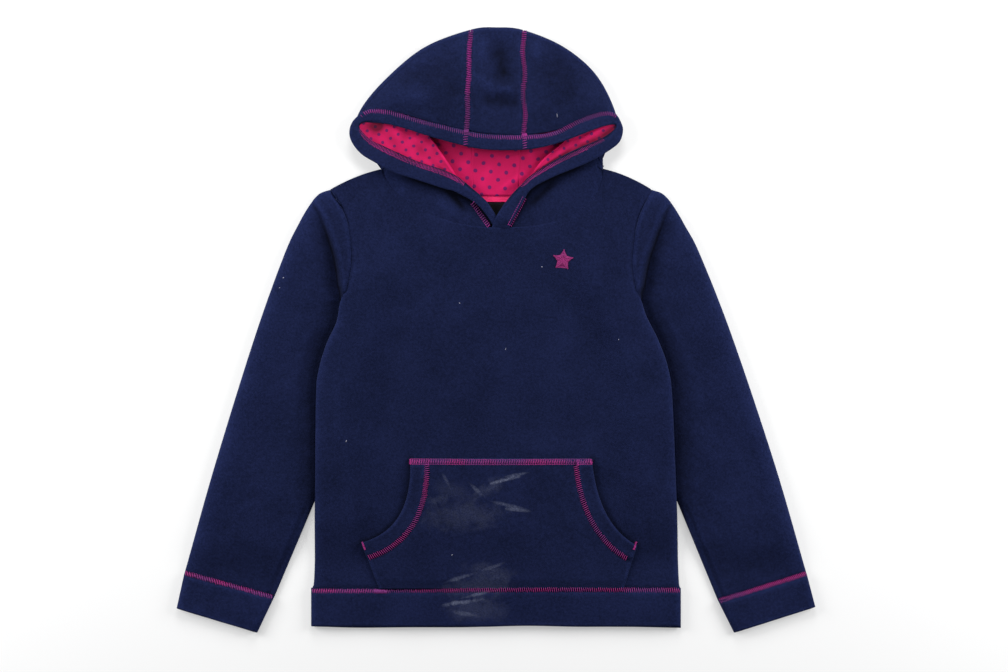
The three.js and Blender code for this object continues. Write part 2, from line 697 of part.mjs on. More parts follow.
// A layer of a lapel between two offsets above its underside and its top.
function lapelLayer(form, vs, below, above) {
  const grid = (height) =>
    vs.map((v) => LAPEL_STATIONS.map((u) => form.from(u, v).setZ(form.low(u, v) + height(u, v))));
  return wall(grid(above(form)), grid(below(form)));
}
const LAPEL_STATIONS = range(10);
const LAPEL_COLUMNS = [0, 0.25, 0.4, 0.6, 0.8, 1];
const WING_COLUMNS = [-0.05, -0.012, 0, 0.3, 0.6];

function lapel(name, grow = 0) {
  const above = (form) => (u, v) => form.thick(u, v) + grow;
  return lapelLayer(lapelForm(name), LAPEL_COLUMNS, () => () => -grow, above);
}

// The lining over a lapel, which drops round the roll line.
function wing(name) {
  const top = (form) => (u, v) => form.thick(u, Math.max(v, 0)) + SEAM;
  return lapelLayer(
    lapelForm(name),
    WING_COLUMNS,
    (form) => (u, v) => (v < 0 ? 0.4 : top(form)(u, v)),
    (form) => (u, v) => top(form)(u, v) + JERSEY,
  );
}

// Hood panels: the shell's spans with the lapels joined on, carved clear of the hem and each other.
function hoodPanels() {
  const shell = (us, grow = 0) => solid(foldedPly(hoodShell, us, SHELL_ROWS, -grow, FLEECE + grow));
  const depth = FLEECE + SEAM;
  const inner = (us) => solid(foldedPly(hoodShell, us, SHELL_ROWS, depth, depth + JERSEY));
  const outer = {
    left: shell(SHELL_SPANS.left).add(solid(lapel("left"))),
    centre: shell(SHELL_SPANS.centre),
    right: shell(SHELL_SPANS.right).add(solid(lapel("right"))),
  };
  const grown = {
    left: shell(SHELL_SPANS.left, 1.2 * SEAM).add(solid(lapel("left", SEAM))),
    right: shell(SHELL_SPANS.right, 1.2 * SEAM).add(solid(lapel("right", SEAM))),
  };
  const sideLining = (name) =>
    inner(LINING_SPANS[name]).add(solid(wing(name))).subtract(grown[name]).subtract(outer[name]);
  const lining = {
    left: sideLining("left"),
    centre: inner(LINING_SPANS.centre),
    right: sideLining("right"),
  };
  const neighbours = [hoodHem(SEAM), frontPanel(SEAM), backPanel(SEAM), frontPanel()]
    .map(solid)
    .reduce((all, one) => all.add(one));
  const carved = (solids) =>
    Object.fromEntries(
      Object.entries(solids).map(([name, body]) => [name, geometryOf(body.subtract(neighbours))]),
    );
  return { outer: carved(outer), lining: carved(lining) };
}

// The tape over the back neck seam, and the bare label under it, both on the back panel.
function neckStrip(centreX, halfWidth, topDrop, height, thickness) {
  const patch = (u, v) => {
    const x = centreX + lerp(-halfWidth, halfWidth, u);
    return new THREE.Vector2(x, necklineY(x, BACK_NECK_DROP) - topDrop - height * (1 - v));
  };
  return plyOver(patch, range(12), [0, 1], (x, y) => bodyLift(x, y) + FLEECE + SEAM, thickness);
}

const neckTape = () => neckStrip(0, NECK_TAPE.halfWidth, 0.6, NECK_TAPE.height, NECK_TAPE.thickness);
function neckLabel() {
  const topDrop = necklineY(0, BACK_NECK_DROP) - LABEL.topY;
  return neckStrip(LABEL.centreX, LABEL.width / 2, topDrop, LABEL.height, LABEL.thickness);
}

// ---------------------------------------------------------------- the garment
function cloth(color, roughness) {
  return new THREE.MeshStandardMaterial({ color, roughness, metalness: 0 });
}
const navy = cloth(COLOURS.navy, 0.95);
const pink = cloth(COLOURS.pink, 0.9);
const thread = cloth(COLOURS.thread, 0.6);
const black = cloth(COLOURS.black, 0.8);

const hoodie = new THREE.Group();
function add(name, geometry, material) {
  const mesh = new THREE.Mesh(geometry, material);
  mesh.name = name;
  hoodie.add(mesh);
}

add("front_panel", frontPanel(), navy);
add("back_panel", backPanel(), navy);
for (const [name, side] of Object.entries(SIDES)) {
  add(`sleeve_${name}`, sleeve(side), navy);
  add(`cuff_${name}`, cuff(side), navy);
}
add("waistband", waistband(), navy);
add("pocket", pocket(), navy);
add("star", star(), thread);
add("hood_hem", hoodHem(), navy);
const hood = hoodPanels();
for (const [name, geometry] of Object.entries(hood.outer)) add(`hood_${name}`, geometry, navy);
for (const [name, geometry] of Object.entries(hood.lining)) add(`hood_lining_${name}`, geometry, pink);
add("neck_tape", neckTape(), pink);
add("neck_label", neckLabel(), black);

export default hoodie;
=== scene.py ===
"""A child's fleece pullover hoodie, laid flat on its back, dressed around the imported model.

Lengths in this file are millimetres unless a name ends in _m or a docstring says metres, and Piece
turns them into metres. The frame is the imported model's: +Z up from the surface, +Y towards the crown
of the hood, +X to the right.
"""
import itertools
import logging
import math
from dataclasses import dataclass, field
from enum import Enum
from functools import partial
from typing import Callable

import bpy
import numpy as np
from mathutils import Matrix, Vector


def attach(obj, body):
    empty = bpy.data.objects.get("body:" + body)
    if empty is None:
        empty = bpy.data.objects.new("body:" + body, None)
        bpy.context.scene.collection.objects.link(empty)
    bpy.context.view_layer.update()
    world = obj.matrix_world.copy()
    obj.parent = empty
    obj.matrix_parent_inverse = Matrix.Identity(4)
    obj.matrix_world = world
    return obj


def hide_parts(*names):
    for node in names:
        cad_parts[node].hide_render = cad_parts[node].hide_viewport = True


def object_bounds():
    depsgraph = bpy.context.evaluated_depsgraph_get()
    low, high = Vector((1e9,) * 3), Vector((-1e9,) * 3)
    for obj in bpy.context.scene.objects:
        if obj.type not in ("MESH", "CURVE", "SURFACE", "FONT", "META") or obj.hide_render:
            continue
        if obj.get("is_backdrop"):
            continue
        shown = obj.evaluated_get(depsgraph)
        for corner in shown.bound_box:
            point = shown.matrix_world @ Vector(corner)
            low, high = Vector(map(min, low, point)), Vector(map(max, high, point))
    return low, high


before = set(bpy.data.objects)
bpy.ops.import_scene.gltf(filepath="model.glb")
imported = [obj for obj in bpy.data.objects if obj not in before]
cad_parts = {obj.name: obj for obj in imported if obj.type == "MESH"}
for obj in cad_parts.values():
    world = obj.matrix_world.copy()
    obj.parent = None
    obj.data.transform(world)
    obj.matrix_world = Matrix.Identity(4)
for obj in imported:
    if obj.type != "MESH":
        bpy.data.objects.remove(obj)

logging.basicConfig(level=logging.INFO, format="%(message)s")
LOG = logging.getLogger("hoodie")

Array = np.ndarray
Height = Callable[[Array, Array], Array]
Pair = tuple[float, float]
Row = tuple[float, ...]
Colour = tuple[float, float, float]
Node, Socket, Tree = bpy.types.Node, bpy.types.NodeSocket, bpy.types.NodeTree

MM = 0.001
PLY = 2.2  # thickness of one ply of fleece as dressed
LINING_PLY = 1.0
FLEECE = 2.4  # thickness of one ply of fleece in the solids
SEAM = 0.3
DOUBLE_PLY = 1.8 * PLY  # thickness of a wall of doubled cloth as dressed


# ---- small maths
def ease(start: float, end: float, value: Array) -> Array:
    """Smooth step: 0 at start, 1 at end, with level ends.

    Args:
        start: value that gives 0.
        end: value that gives 1; it may be below start.
        value: numbers to map.

    Returns:
        t * t * (3 - 2 t), where t is value's clipped share of the way from start to end.
    """
    t = np.clip((np.asarray(value, float) - start) / (end - start), 0.0, 1.0)
    return t * t * (3.0 - 2.0 * t)


def mix(first: Array, last: Array, share: Array) -> Array:
    """Returns the value a share of the way from first to last."""
    return first + (last - first) * share


def bell(gap: Array, height: float, width: float | Array) -> Array:
    """Returns a Gaussian of a distance: height at 0, and 1/e of it at width."""
    return height * np.exp(-((gap / width) ** 2))


def stacked(*parts: Array) -> Array:
    """Returns the parts as the last axis of one array."""
    return np.stack(parts, axis=-1)


def raised(plan: Array, height: Array) -> Array:
    """Returns plan places with a height each."""
    return np.concatenate([plan, height[..., None]], axis=-1)


def unit(vectors: Array, least: float = 0.0) -> Array:
    """Returns vectors over their lengths, or over least where they are shorter."""
    return vectors / np.maximum(np.linalg.norm(vectors, axis=-1, keepdims=True), least)


def through(points: Array, t: Array) -> Array:
    """A Catmull-Rom curve through points, whose knots are evenly numbered.

    Args:
        points: the knots, one row each.
        t: shares of the way from the first knot to the last.

    Returns:
        One row for each t. Each stretch is the cubic with the slope (next - previous) / 2 at its knots.
    """
    knots = np.asarray(points, float)
    padded = np.vstack([2 * knots[0] - knots[1], knots, 2 * knots[-1] - knots[-2]])
    place = np.clip(np.asarray(t, float), 0.0, 1.0) * (len(knots) - 1)
    index = np.minimum(place.astype(int), len(knots) - 2)
    f = (place - index)[..., None]
    p0, p1, p2, p3 = (padded[index + k] for k in range(4))
    return 0.5 * (
        2 * p1 + (p2 - p0) * f + (2 * p0 - 5 * p1 + 4 * p2 - p3) * f**2 + (3 * p1 - p0 - 3 * p2 + p3) * f**3
    )


def lengths(path: Array) -> Array:
    """Returns the length of a polyline up to each of its points."""
    return np.concatenate([[0.0], np.cumsum(np.linalg.norm(np.diff(path, axis=0), axis=1))])


def along(path: Array, share: Array) -> Array:
    """Returns the points that lie a share of a polyline's length along it."""
    run = lengths(path)
    return np.stack([np.interp(np.asarray(share) * run[-1], run, c) for c in path.T], axis=-1)


def curve(points: Array, count: int = 300) -> Array:
    """Returns a smooth curve through points as count points at even steps of length."""
    return along(through(points, np.linspace(0, 1, 4 * count)), np.linspace(0, 1, count))


def distance(x: Array, y: Array, path: Array) -> Array:
    """Distance in plan from each point to a polyline.

    Args:
        x, y: plan places, of one shape.
        path: the polyline's points, one row each.

    Returns:
        The least distance to any of the polyline's segments, in the shape of x.
    """
    p = stacked(np.ravel(x), np.ravel(y))[:, None, :]
    a, step = path[None, :-1, :2], np.diff(path[:, :2], axis=0)[None]
    t = np.clip(((p - a) * step).sum(-1) / np.maximum((step**2).sum(-1), 1e-9), 0, 1)
    return np.sqrt((((p - a) - t[..., None] * step) ** 2).sum(-1).min(1)).reshape(np.shape(x))


def roll_off(gap: Array, radius: float, drop: float) -> Array:
    """How far a rounded edge has dropped: a quarter ellipse, drop at the edge and 0 radius inside it."""
    share = 1 - np.clip(gap / radius, 0, 1)
    return drop * (1 - np.sqrt(1 - share**2))


# ---- outlines and heights
@dataclass(frozen=True)
class Side:
    """Outlines of one side of the garment, as distances from the middle, from the top or hem on.

    Attributes:
        sign: -1 for the side at -X, 1 for the side at +X.
        neck_x: distance of the side neck point.
        neck_round: exponent of the neckline's superellipse.
        body_edge: side seam and armhole, from the hem up to the shoulder tip.
        sleeve_outer: the sleeve's outer fold, from the shoulder tip to the cuff.
        sleeve_inner: the sleeve's inner fold, from under the body to the cuff.
        cuff_end: the outer and the inner end of the cuff.
        pocket: the pocket's top corner, the waist of its opening curve, its tip and its foot.
    """

    sign: int
    neck_x: float
    neck_round: float
    body_edge: tuple[Pair, ...]
    sleeve_outer: tuple[Pair, ...]
    sleeve_inner: tuple[Pair, ...]
    cuff_end: tuple[Pair, Pair]
    pocket: tuple[Pair, ...]

    def place(self, points: Array) -> Array:
        """Returns outline points on this side of the frame."""
        return np.asarray(points, float) * [self.sign, 1.0]

    def sleeve_edges(self) -> tuple[Array, Array]:
        """Returns the sleeve's outer and inner fold, as curves of a few points."""
        outer, inner = (self.place(curve(path, 60)) for path in (self.sleeve_outer, self.sleeve_inner))
        return outer, inner

    def sleeve_end(self) -> Array:
        """Returns the outer and the inner end of the seam between the sleeve and its cuff."""
        return self.place([self.sleeve_outer[-1], self.sleeve_inner[-1]])

    def edge_x(self, y: Array) -> Array:
        """Returns the distance of the body's edge from the middle at each height y."""
        path = curve(self.body_edge)
        return np.interp(y, path[:, 1], path[:, 0])


LEFT = Side(
    sign=-1,
    neck_x=118.0,
    neck_round=1.8,
    body_edge=(
        (193.2, -271.2), (190.4, -258), (189.4, -178), (188.4, -73), (186, -44), (177.6, -15), (167, 8),
        (163, 28), (155.4, 46), (150.6, 71), (152.4, 97), (158.8, 122), (173.8, 147),
    ),
    sleeve_outer=(
        (173.8, 147), (185.5, 142.5), (196, 130), (207, 111), (222, 79), (252.5, -6), (294.5, -141),
        (326.6, -255),
    ),
    sleeve_inner=((161, -47), (164.5, -95), (174, -139), (190.6, -181), (232.1, -279.3)),
    cuff_end=((334.6, -291.5), (250, -317)),
    pocket=((89.8, -134.4), (86, -208), (141, -222), (122.3, -270.6)),
)
RIGHT = Side(
    sign=1,
    neck_x=111.8,
    neck_round=2.4,
    body_edge=(
        (193.2, -271.2), (191.4, -258), (189, -178), (184.6, -73), (180.2, -40), (169.6, -10), (158, 13),
        (152, 30), (146.3, 43), (142.2, 67), (143.8, 90), (150, 119), (163.3, 147),
    ),
    sleeve_outer=(
        (163.3, 147), (175, 142.5), (186, 130), (199, 108), (214, 79), (247.3, -6), (292.4, -141),
        (325.5, -255),
    ),
    sleeve_inner=((158, -47), (161.2, -95), (172, -137), (190, -180), (232.6, -283.5)),
    cuff_end=((334.6, -290), (249.4, -317)),
    pocket=((100.3, -134.4), (106, -203), (147.5, -225), (133.9, -270.6)),
)
SIDES = {"left": LEFT, "right": RIGHT}
SHOULDER_Y = 147.0
NECK_Y = 169.0
HEM_Y = -270.6
FRONT_NECK_DROP = 61.5
BACK_NECK_DROP = 27.5


def by_side(x: Array, left: Array, right: Array) -> Array:
    """Returns left where x is negative and right elsewhere."""
    return np.where(np.asarray(x) < 0, left, right)


def neckline_y(x: Array, drop: float) -> Array:
    """Height of a neckline: a superellipse that hangs by drop between the side neck points."""
    n = by_side(x, LEFT.neck_round, RIGHT.neck_round)
    share = np.clip(np.abs(x) / by_side(x, LEFT.neck_x, RIGHT.neck_x), 0, 1)
    return NECK_Y - drop * (1 - share**n) ** (1 / n)


@dataclass(frozen=True)
class Crease:
    """A soft trough or ridge in cloth, along a straight stretch.

    Attributes:
        start: plan place of one end.
        end: plan place of the other.
        width: how wide it is, from flank to flank.
        height: its height; a trough's is negative.
    """

    start: Pair
    end: Pair
    width: float
    height: float

    def rise(self, x: Array, y: Array) -> Array:
        """Height that the crease adds at each place.

        Args:
            x, y: plan places, of one shape.

        Returns:
            A Gaussian across the crease, which fades out past its ends.
        """
        a, b = np.array(self.start), np.array(self.end)
        run = b - a
        size = np.hypot(*run)
        t = ((x - a[0]) * run[0] + (y - a[1]) * run[1]) / size**2
        off = ((x - a[0]) * run[1] - (y - a[1]) * run[0]) / size
        fade = ease(-0.25, 0.3, t) * ease(1.25, 0.7, t)
        return self.height * fade * bell(2 * off, 1.0, self.width)


def folds(*rows: Row) -> tuple[Crease, ...]:
    """Returns creases from rows of start x and y, end x and y, width and height."""
    return tuple(Crease((a, b), (c, d), width, height) for a, b, c, d, width, height in rows)


def creased(creases: tuple[Crease, ...], x: Array, y: Array) -> Array:
    """Returns the sum of the creases' heights at each place."""
    return sum((c.rise(x, y) for c in creases), np.zeros(np.shape(x)))


def rumple(x: Array, y: Array, size: float, seed: float) -> Array:
    """Slight unevenness of laid cloth: six crossed waves whose lengths are near size.

    Args:
        x, y: plan places, of one shape.
        size: typical length of a wave.
        seed: shifts the waves, so that two pieces differ.

    Returns:
        Heights of about -1 to 1.
    """
    k = np.arange(1, 7)
    turn = k * 2.4 + seed
    wave = 2 * np.pi / (size * (0.7 + 0.17 * k))
    across = x[..., None] * np.cos(turn) + y[..., None] * np.sin(turn)
    drift = 1.3 * np.sin((x[..., None] * np.sin(turn) - y[..., None] * np.cos(turn)) * 0.6 * wave)
    return np.sin(across * wave + drift + 7 * seed * k).mean(-1) * 1.6


@dataclass(frozen=True)
class Drape:
    """Heights of the body's layers, as laid over the sleeves tucked under its sides."""

    tuck_lift: float = 7.0
    air: float = 2.6
    hem_air: float = 3.3
    creases: tuple[Crease, ...] = folds(
        (-150, 90, -120, -10, 34, 1.6), (-128, 60, -96, -60, 30, -1.3), (138, 84, 118, 0, 30, 1.5),
        (120, 60, 92, -40, 32, -1.2), (-60, 40, -20, -80, 60, 1.0), (28, 60, 40, -90, 50, -1.1),
        (-168, -60, -150, -200, 20, 1.4), (168, -70, 156, -190, 20, 1.4), (-60, -96, 40, -104, 26, -0.9),
        (60, -118, 130, -150, 22, 0.9), (-100, 110, -60, 84, 26, 0.9), (60, 104, 104, 118, 26, -0.8),
    )

    def outside(self, x: Array, y: Array) -> Array:
        """Returns how far each place lies outside the body's edge, along X."""
        held = np.clip(y, HEM_Y, SHOULDER_Y)
        return np.abs(x) - by_side(x, LEFT.edge_x(held), RIGHT.edge_x(held))

    def lift(self, x: Array, y: Array) -> Array:
        """Returns the height of the back panel's underside."""
        rise = ease(-78, -34, self.outside(x, y)) * ease(150, 28, y) * ease(-250, -192, y)
        return self.tuck_lift * rise

    def front_low(self, x: Array, y: Array) -> Array:
        """Height of the front panel's underside.

        Args:
            x, y: plan places, of one shape.

        Returns:
            The back panel's height, a ply and the air between the panels.
        """
        across = np.maximum(0, 1 - (np.abs(x) / 192) ** 4)
        along_y = ease(165, 90, y) * ease(-300, -200, y)
        air = mix(SEAM + self.air * across * along_y, self.hem_air, ease(-225, HEM_Y, y))
        return self.lift(x, y) + FLEECE + air

    def front(self, x: Array, y: Array) -> Array:
        """Returns the height of the front panel's face, with its creases."""
        calm = ease(-250, -215, y)
        uneven = creased(self.creases, x, y) + 0.32 * rumple(x, y, 34.0, 1.0)
        uneven = uneven + 0.16 * rumple(x, y, 13.0, 2.0)
        return self.front_low(x, y) + FLEECE + (0.25 + 0.75 * calm) * uneven


DRAPE = Drape()


# ---- surfaces and pieces
@dataclass(frozen=True)
class Patch:
    """A four-sided piece of the plan, given by its edges as polylines.

    bottom and top run with u; left and right run with v. A place inside is the Coons blend: the mean
    across v of bottom and top, plus the mean across u of left and right, less the mean of the corners.
    """

    bottom: Array
    top: Array
    left: Array
    right: Array

    def at(self, u: Array, v: Array) -> tuple[Array, Array]:
        """Plan places for shares u and v.

        Args:
            u: shares across, broadcast with v.
            v: shares along.

        Returns:
            x and y.
        """
        u, v = np.broadcast_arrays(np.asarray(u, float), np.asarray(v, float))
        low, high = along(self.bottom, u), along(self.top, u)
        first, last = along(self.left, v), along(self.right, v)
        un, vn = u[..., None], v[..., None]
        corners = mix(mix(self.bottom[0], self.bottom[-1], un), mix(self.top[0], self.top[-1], un), vn)
        place = mix(low, high, vn) + mix(first, last, un) - corners
        return place[..., 0], place[..., 1]


def spread(count: int, ends: float = 0.5) -> Array:
    """Returns count shares from 0 to 1, closer together at both ends by the weight ends."""
    t = np.linspace(0, 1, count)
    return mix(t, 0.5 - 0.5 * np.cos(np.pi * t), ends)


def joined(runs: tuple[tuple[float, float, int], ...]) -> Array:
    """Returns shares in runs of even steps, each from a start to an end by a count, without repeats."""
    return np.concatenate([np.linspace(*run)[:-1] for run in runs[:-1]] + [np.linspace(*runs[-1])])


class Facing(Enum):
    """Which way a surface's faces point: up, or away from its own middle."""

    UP = "up"
    ROUND = "round"


@dataclass
class Grid:
    """A surface as rows of points, or a batch of such surfaces.

    Attributes:
        points: places, shaped (rows, columns, 3) or (batch, rows, columns, 3).
        loop: whether each row closes on itself.
        capped: whether the first and the last row are closed with a flat end.
        facing: which way the faces point.
        cloth: places on the flat cloth, for a printed pattern; plan places if it is left out.
        painted_light: painted light and shade at each point, 0 if it is left out: a painted highlight above
            0, painted shade below.
    """

    points: Array
    loop: bool = False
    capped: bool = False
    facing: Facing = Facing.UP
    cloth: Array | None = None
    painted_light: Array | None = None

    def quads(self) -> Array:
        """Faces as rows of four vertex numbers.

        Returns:
            The quads between neighbouring points. An end cap joins the points at equal steps from its
            first one, going both ways round.
        """
        rows, columns = self.points.shape[-3:-1]
        index = np.arange(self.points.size // 3).reshape(-1, rows, columns)
        sheet = np.concatenate([index, index[..., :1]], axis=-1) if self.loop else index
        corners = (sheet[:, :-1, :-1], sheet[:, :-1, 1:], sheet[:, 1:, 1:], sheet[:, 1:, :-1])
        faces = [np.stack([c.ravel() for c in corners], axis=-1)]
        if self.capped:
            i = np.arange(columns // 2 - 1)
            for end, order in ((0, 1), (-1, -1)):
                ring = index[:, end]
                cap = (ring[:, i], ring[:, columns - 1 - i], ring[:, columns - 2 - i], ring[:, i + 1])
                faces.append(np.stack([c.ravel() for c in cap], axis=-1)[:, ::order])
        return self.turned_out(np.concatenate(faces))

    def outward(self, normals: Array, places: Array) -> float:
        """Returns 1 if the normals point outwards on the whole, and -1 if they don't."""
        out = [0.0, 0.0, 1.0] if self.facing is Facing.UP else places - self.points.reshape(-1, 3).mean(0)
        return 1.0 if (normals * out).sum() >= 0 else -1.0

    def turned_out(self, quads: Array) -> Array:
        """Returns the faces, reversed if they point inwards on the whole."""
        points = self.points.reshape(-1, 3)
        a, b, c, d = (points[quads[:, k]] for k in range(4))
        return quads[:, ::-1] if self.outward(np.cross(c - a, d - b), (a + c) / 2) < 0 else quads

    def wear_and_painted_shade(self) -> Array:
        """Rubbed nap and painted shade at each vertex: 1 on a sharp ridge, 0 on a flat, -1 in a groove.

        It is tanh(6 k) plus the painted light, where k is the sum of the surface's two curvatures in 1/mm.
        A curvature is the change of the normal along a grid line, over the step's length. Ridges get a
        painted highlight and grooves painted shade, along with some rubbing of the nap on ridges.

        Returns:
            One value for each vertex, in order; zeros for a batch of surfaces.
        """
        if self.points.ndim != 3:
            return np.zeros(self.points.size // 3)
        points = np.pad(self.points, ((0, 0), (2, 2), (0, 0)), mode="wrap" if self.loop else "edge")
        down, across = np.gradient(points, axis=0), np.gradient(points, axis=1)
        normal = np.cross(down, across)
        normal = unit(normal, 1e-6)
        normal *= self.outward(normal, points)
        bend = sum(
            (np.gradient(normal, axis=k) * step).sum(-1) / np.maximum((step**2).sum(-1), 0.02)
            for k, step in ((0, down), (1, across))
        )
        # Painted highlight on ridges and painted shade in grooves, with some rubbing of the nap on ridges.
        shaded_and_worn = np.tanh(6 * bend[:, 2:-2])
        return (shaded_and_worn if self.painted_light is None else shaded_and_worn + self.painted_light).ravel()

    def places(self) -> Array:
        """Returns each vertex's place on the flat cloth."""
        return (self.points[..., :2] if self.cloth is None else self.cloth).reshape(-1, 2)


def placed(name: str, data: bpy.types.ID) -> bpy.types.Object:
    """Returns a new object in the scene, at the origin."""
    thing = bpy.data.objects.new(name, data)
    bpy.context.scene.collection.objects.link(thing)
    return thing


@dataclass(frozen=True)
class Cut:
    """The flat size that a piece of cloth is cut to, in metres, and its area in square metres."""

    width: float
    length: float
    area: float


@dataclass
class Piece:
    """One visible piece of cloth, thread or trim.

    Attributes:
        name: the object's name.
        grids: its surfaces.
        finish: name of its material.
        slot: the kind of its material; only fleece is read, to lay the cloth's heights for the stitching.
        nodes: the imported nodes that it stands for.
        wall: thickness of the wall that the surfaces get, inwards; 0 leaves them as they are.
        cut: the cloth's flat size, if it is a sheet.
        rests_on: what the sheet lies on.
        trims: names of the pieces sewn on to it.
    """

    name: str
    grids: list[Grid]
    finish: str
    slot: str
    nodes: tuple[str, ...] = ()
    wall: float = 0.0
    cut: Cut | None = None
    rests_on: tuple[str, ...] = ()
    trims: tuple[str, ...] = ()

    def build(self) -> bpy.types.Object:
        """Makes the object, with its place in its mesh, and hands it to the frame.

        Returns:
            The finished object.
        """
        starts = np.cumsum([0] + [grid.points.size // 3 for grid in self.grids])
        vertices = np.concatenate([grid.points.reshape(-1, 3) for grid in self.grids])
        faces = np.concatenate([grid.quads() + start for grid, start in zip(self.grids, starts)])
        mesh = bpy.data.meshes.new(self.name)
        mesh.vertices.add(len(vertices))
        mesh.vertices.foreach_set("co", (vertices * MM).astype(np.float32).ravel())
        mesh.loops.add(faces.size)
        mesh.loops.foreach_set("vertex_index", faces.astype(np.int32).ravel())
        mesh.polygons.add(len(faces))
        mesh.polygons.foreach_set("loop_start", np.arange(0, faces.size, 4, dtype=np.int32))
        mesh.polygons.foreach_set("use_smooth", np.ones(len(faces), bool))
        mesh.update(calc_edges=True)
        places = np.concatenate([grid.places() for grid in self.grids]) * MM
        cloth = mesh.uv_layers.new(name="cloth")
        cloth.data.foreach_set("uv", places[faces.ravel()].astype(np.float32).ravel())
        # This mesh attribute carries painted highlights and painted shade, with the rubbed nap, to the
        # materials.
        wear_and_painted_shade = mesh.attributes.new("wear_and_painted_shade", "FLOAT", "POINT")
        wear_and_painted_shade.data.foreach_set("value", np.concatenate([g.wear_and_painted_shade() for g in self.grids]).astype(np.float32))
        mesh.materials.append(bpy.data.materials[self.finish])
        piece = placed(self.name, mesh)
        if self.wall:
            wall = piece.modifiers.new("wall", "SOLIDIFY")
            wall.thickness = self.wall * MM
            wall.offset = -1.0
        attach(piece, "root")
        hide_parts(*self.nodes)
        LOG.info("%s: %d faces", self.name, len(faces))
        return piece

    def declare(self) -> None:
        """Reads what the sheet lies on and what is sewn on to it, if it has a cut, and does nothing more
        with them.
        """
        if self.cut:
            list(self.rests_on)
            list(self.trims)


@dataclass
class Relief:
    """The height of everything built so far, seen from above, on a square raster.

    Attributes:
        cell: size of a cell.
        half: half the raster's size.
        empty: height of a cell that holds no surface.
        heights: the highest surface in each cell.
    """

    cell: float = 0.75
    half: float = 345.0
    empty: float = -1e3
    heights: Array = field(init=False)

    def __post_init__(self) -> None:
        """Starts with an empty raster."""
        size = int(2 * self.half / self.cell)
        self.heights = np.full((size, size), self.empty)

    def add(self, grid: Grid, finer: int = 4) -> None:
        """Lays a surface into the raster.

        Args:
            grid: the surface.
            finer: how many steps each of its cells is divided into, both ways.
        """
        points = grid.points
        if grid.loop:
            points = np.concatenate([points, points[:, :1]], axis=1)
        (low, share), (low2, share2) = (self.steps(count, finer) for count in points.shape[:2])
        tall = mix(points[low], points[low + 1], share[:, None, None])
        fine = mix(tall[:, low2], tall[:, low2 + 1], share2[None, :, None])
        index = ((fine[..., :2] + self.half) / self.cell).astype(int)
        np.maximum.at(self.heights, (index[..., 1].ravel(), index[..., 0].ravel()), fine[..., 2].ravel())

    def steps(self, count: int, finer: int) -> tuple[Array, Array]:
        """Fine steps along a row of points.

        Args:
            count: how many points it has.
            finer: how many steps lie between two of them.

        Returns:
            For each step the point before it, and its share of the way to the next.
        """
        at = np.linspace(0, count - 1, (count - 1) * finer + 1)
        low = np.minimum(at.astype(int), count - 2)
        return low, at - low

    def at(self, plan: Array) -> Array:
        """Height of the surface at each plan place.

        Args:
            plan: x and y in the last axis.

        Returns:
            The bilinear mean of the four nearest cells. A cell that holds no surface counts as the
            highest of its neighbours.
        """
        place = (plan + self.half) / self.cell - 0.5
        low = np.floor(place).astype(int)
        share = place - low
        total = 0.0
        for dx in (0, 1):
            for dy in (0, 1):
                ix, iy = low[..., 0] + dx, low[..., 1] + dy
                around = [self.heights[iy + j, ix + i] for i in (-1, 0, 1) for j in (-1, 0, 1)]
                own = self.heights[iy, ix]
                value = np.where(own > self.empty / 10, own, np.max(around, axis=0))
                weight_x = share[..., 0] if dx else 1 - share[..., 0]
                weight_y = share[..., 1] if dy else 1 - share[..., 1]
                total = total + value * weight_x * weight_y
        return total


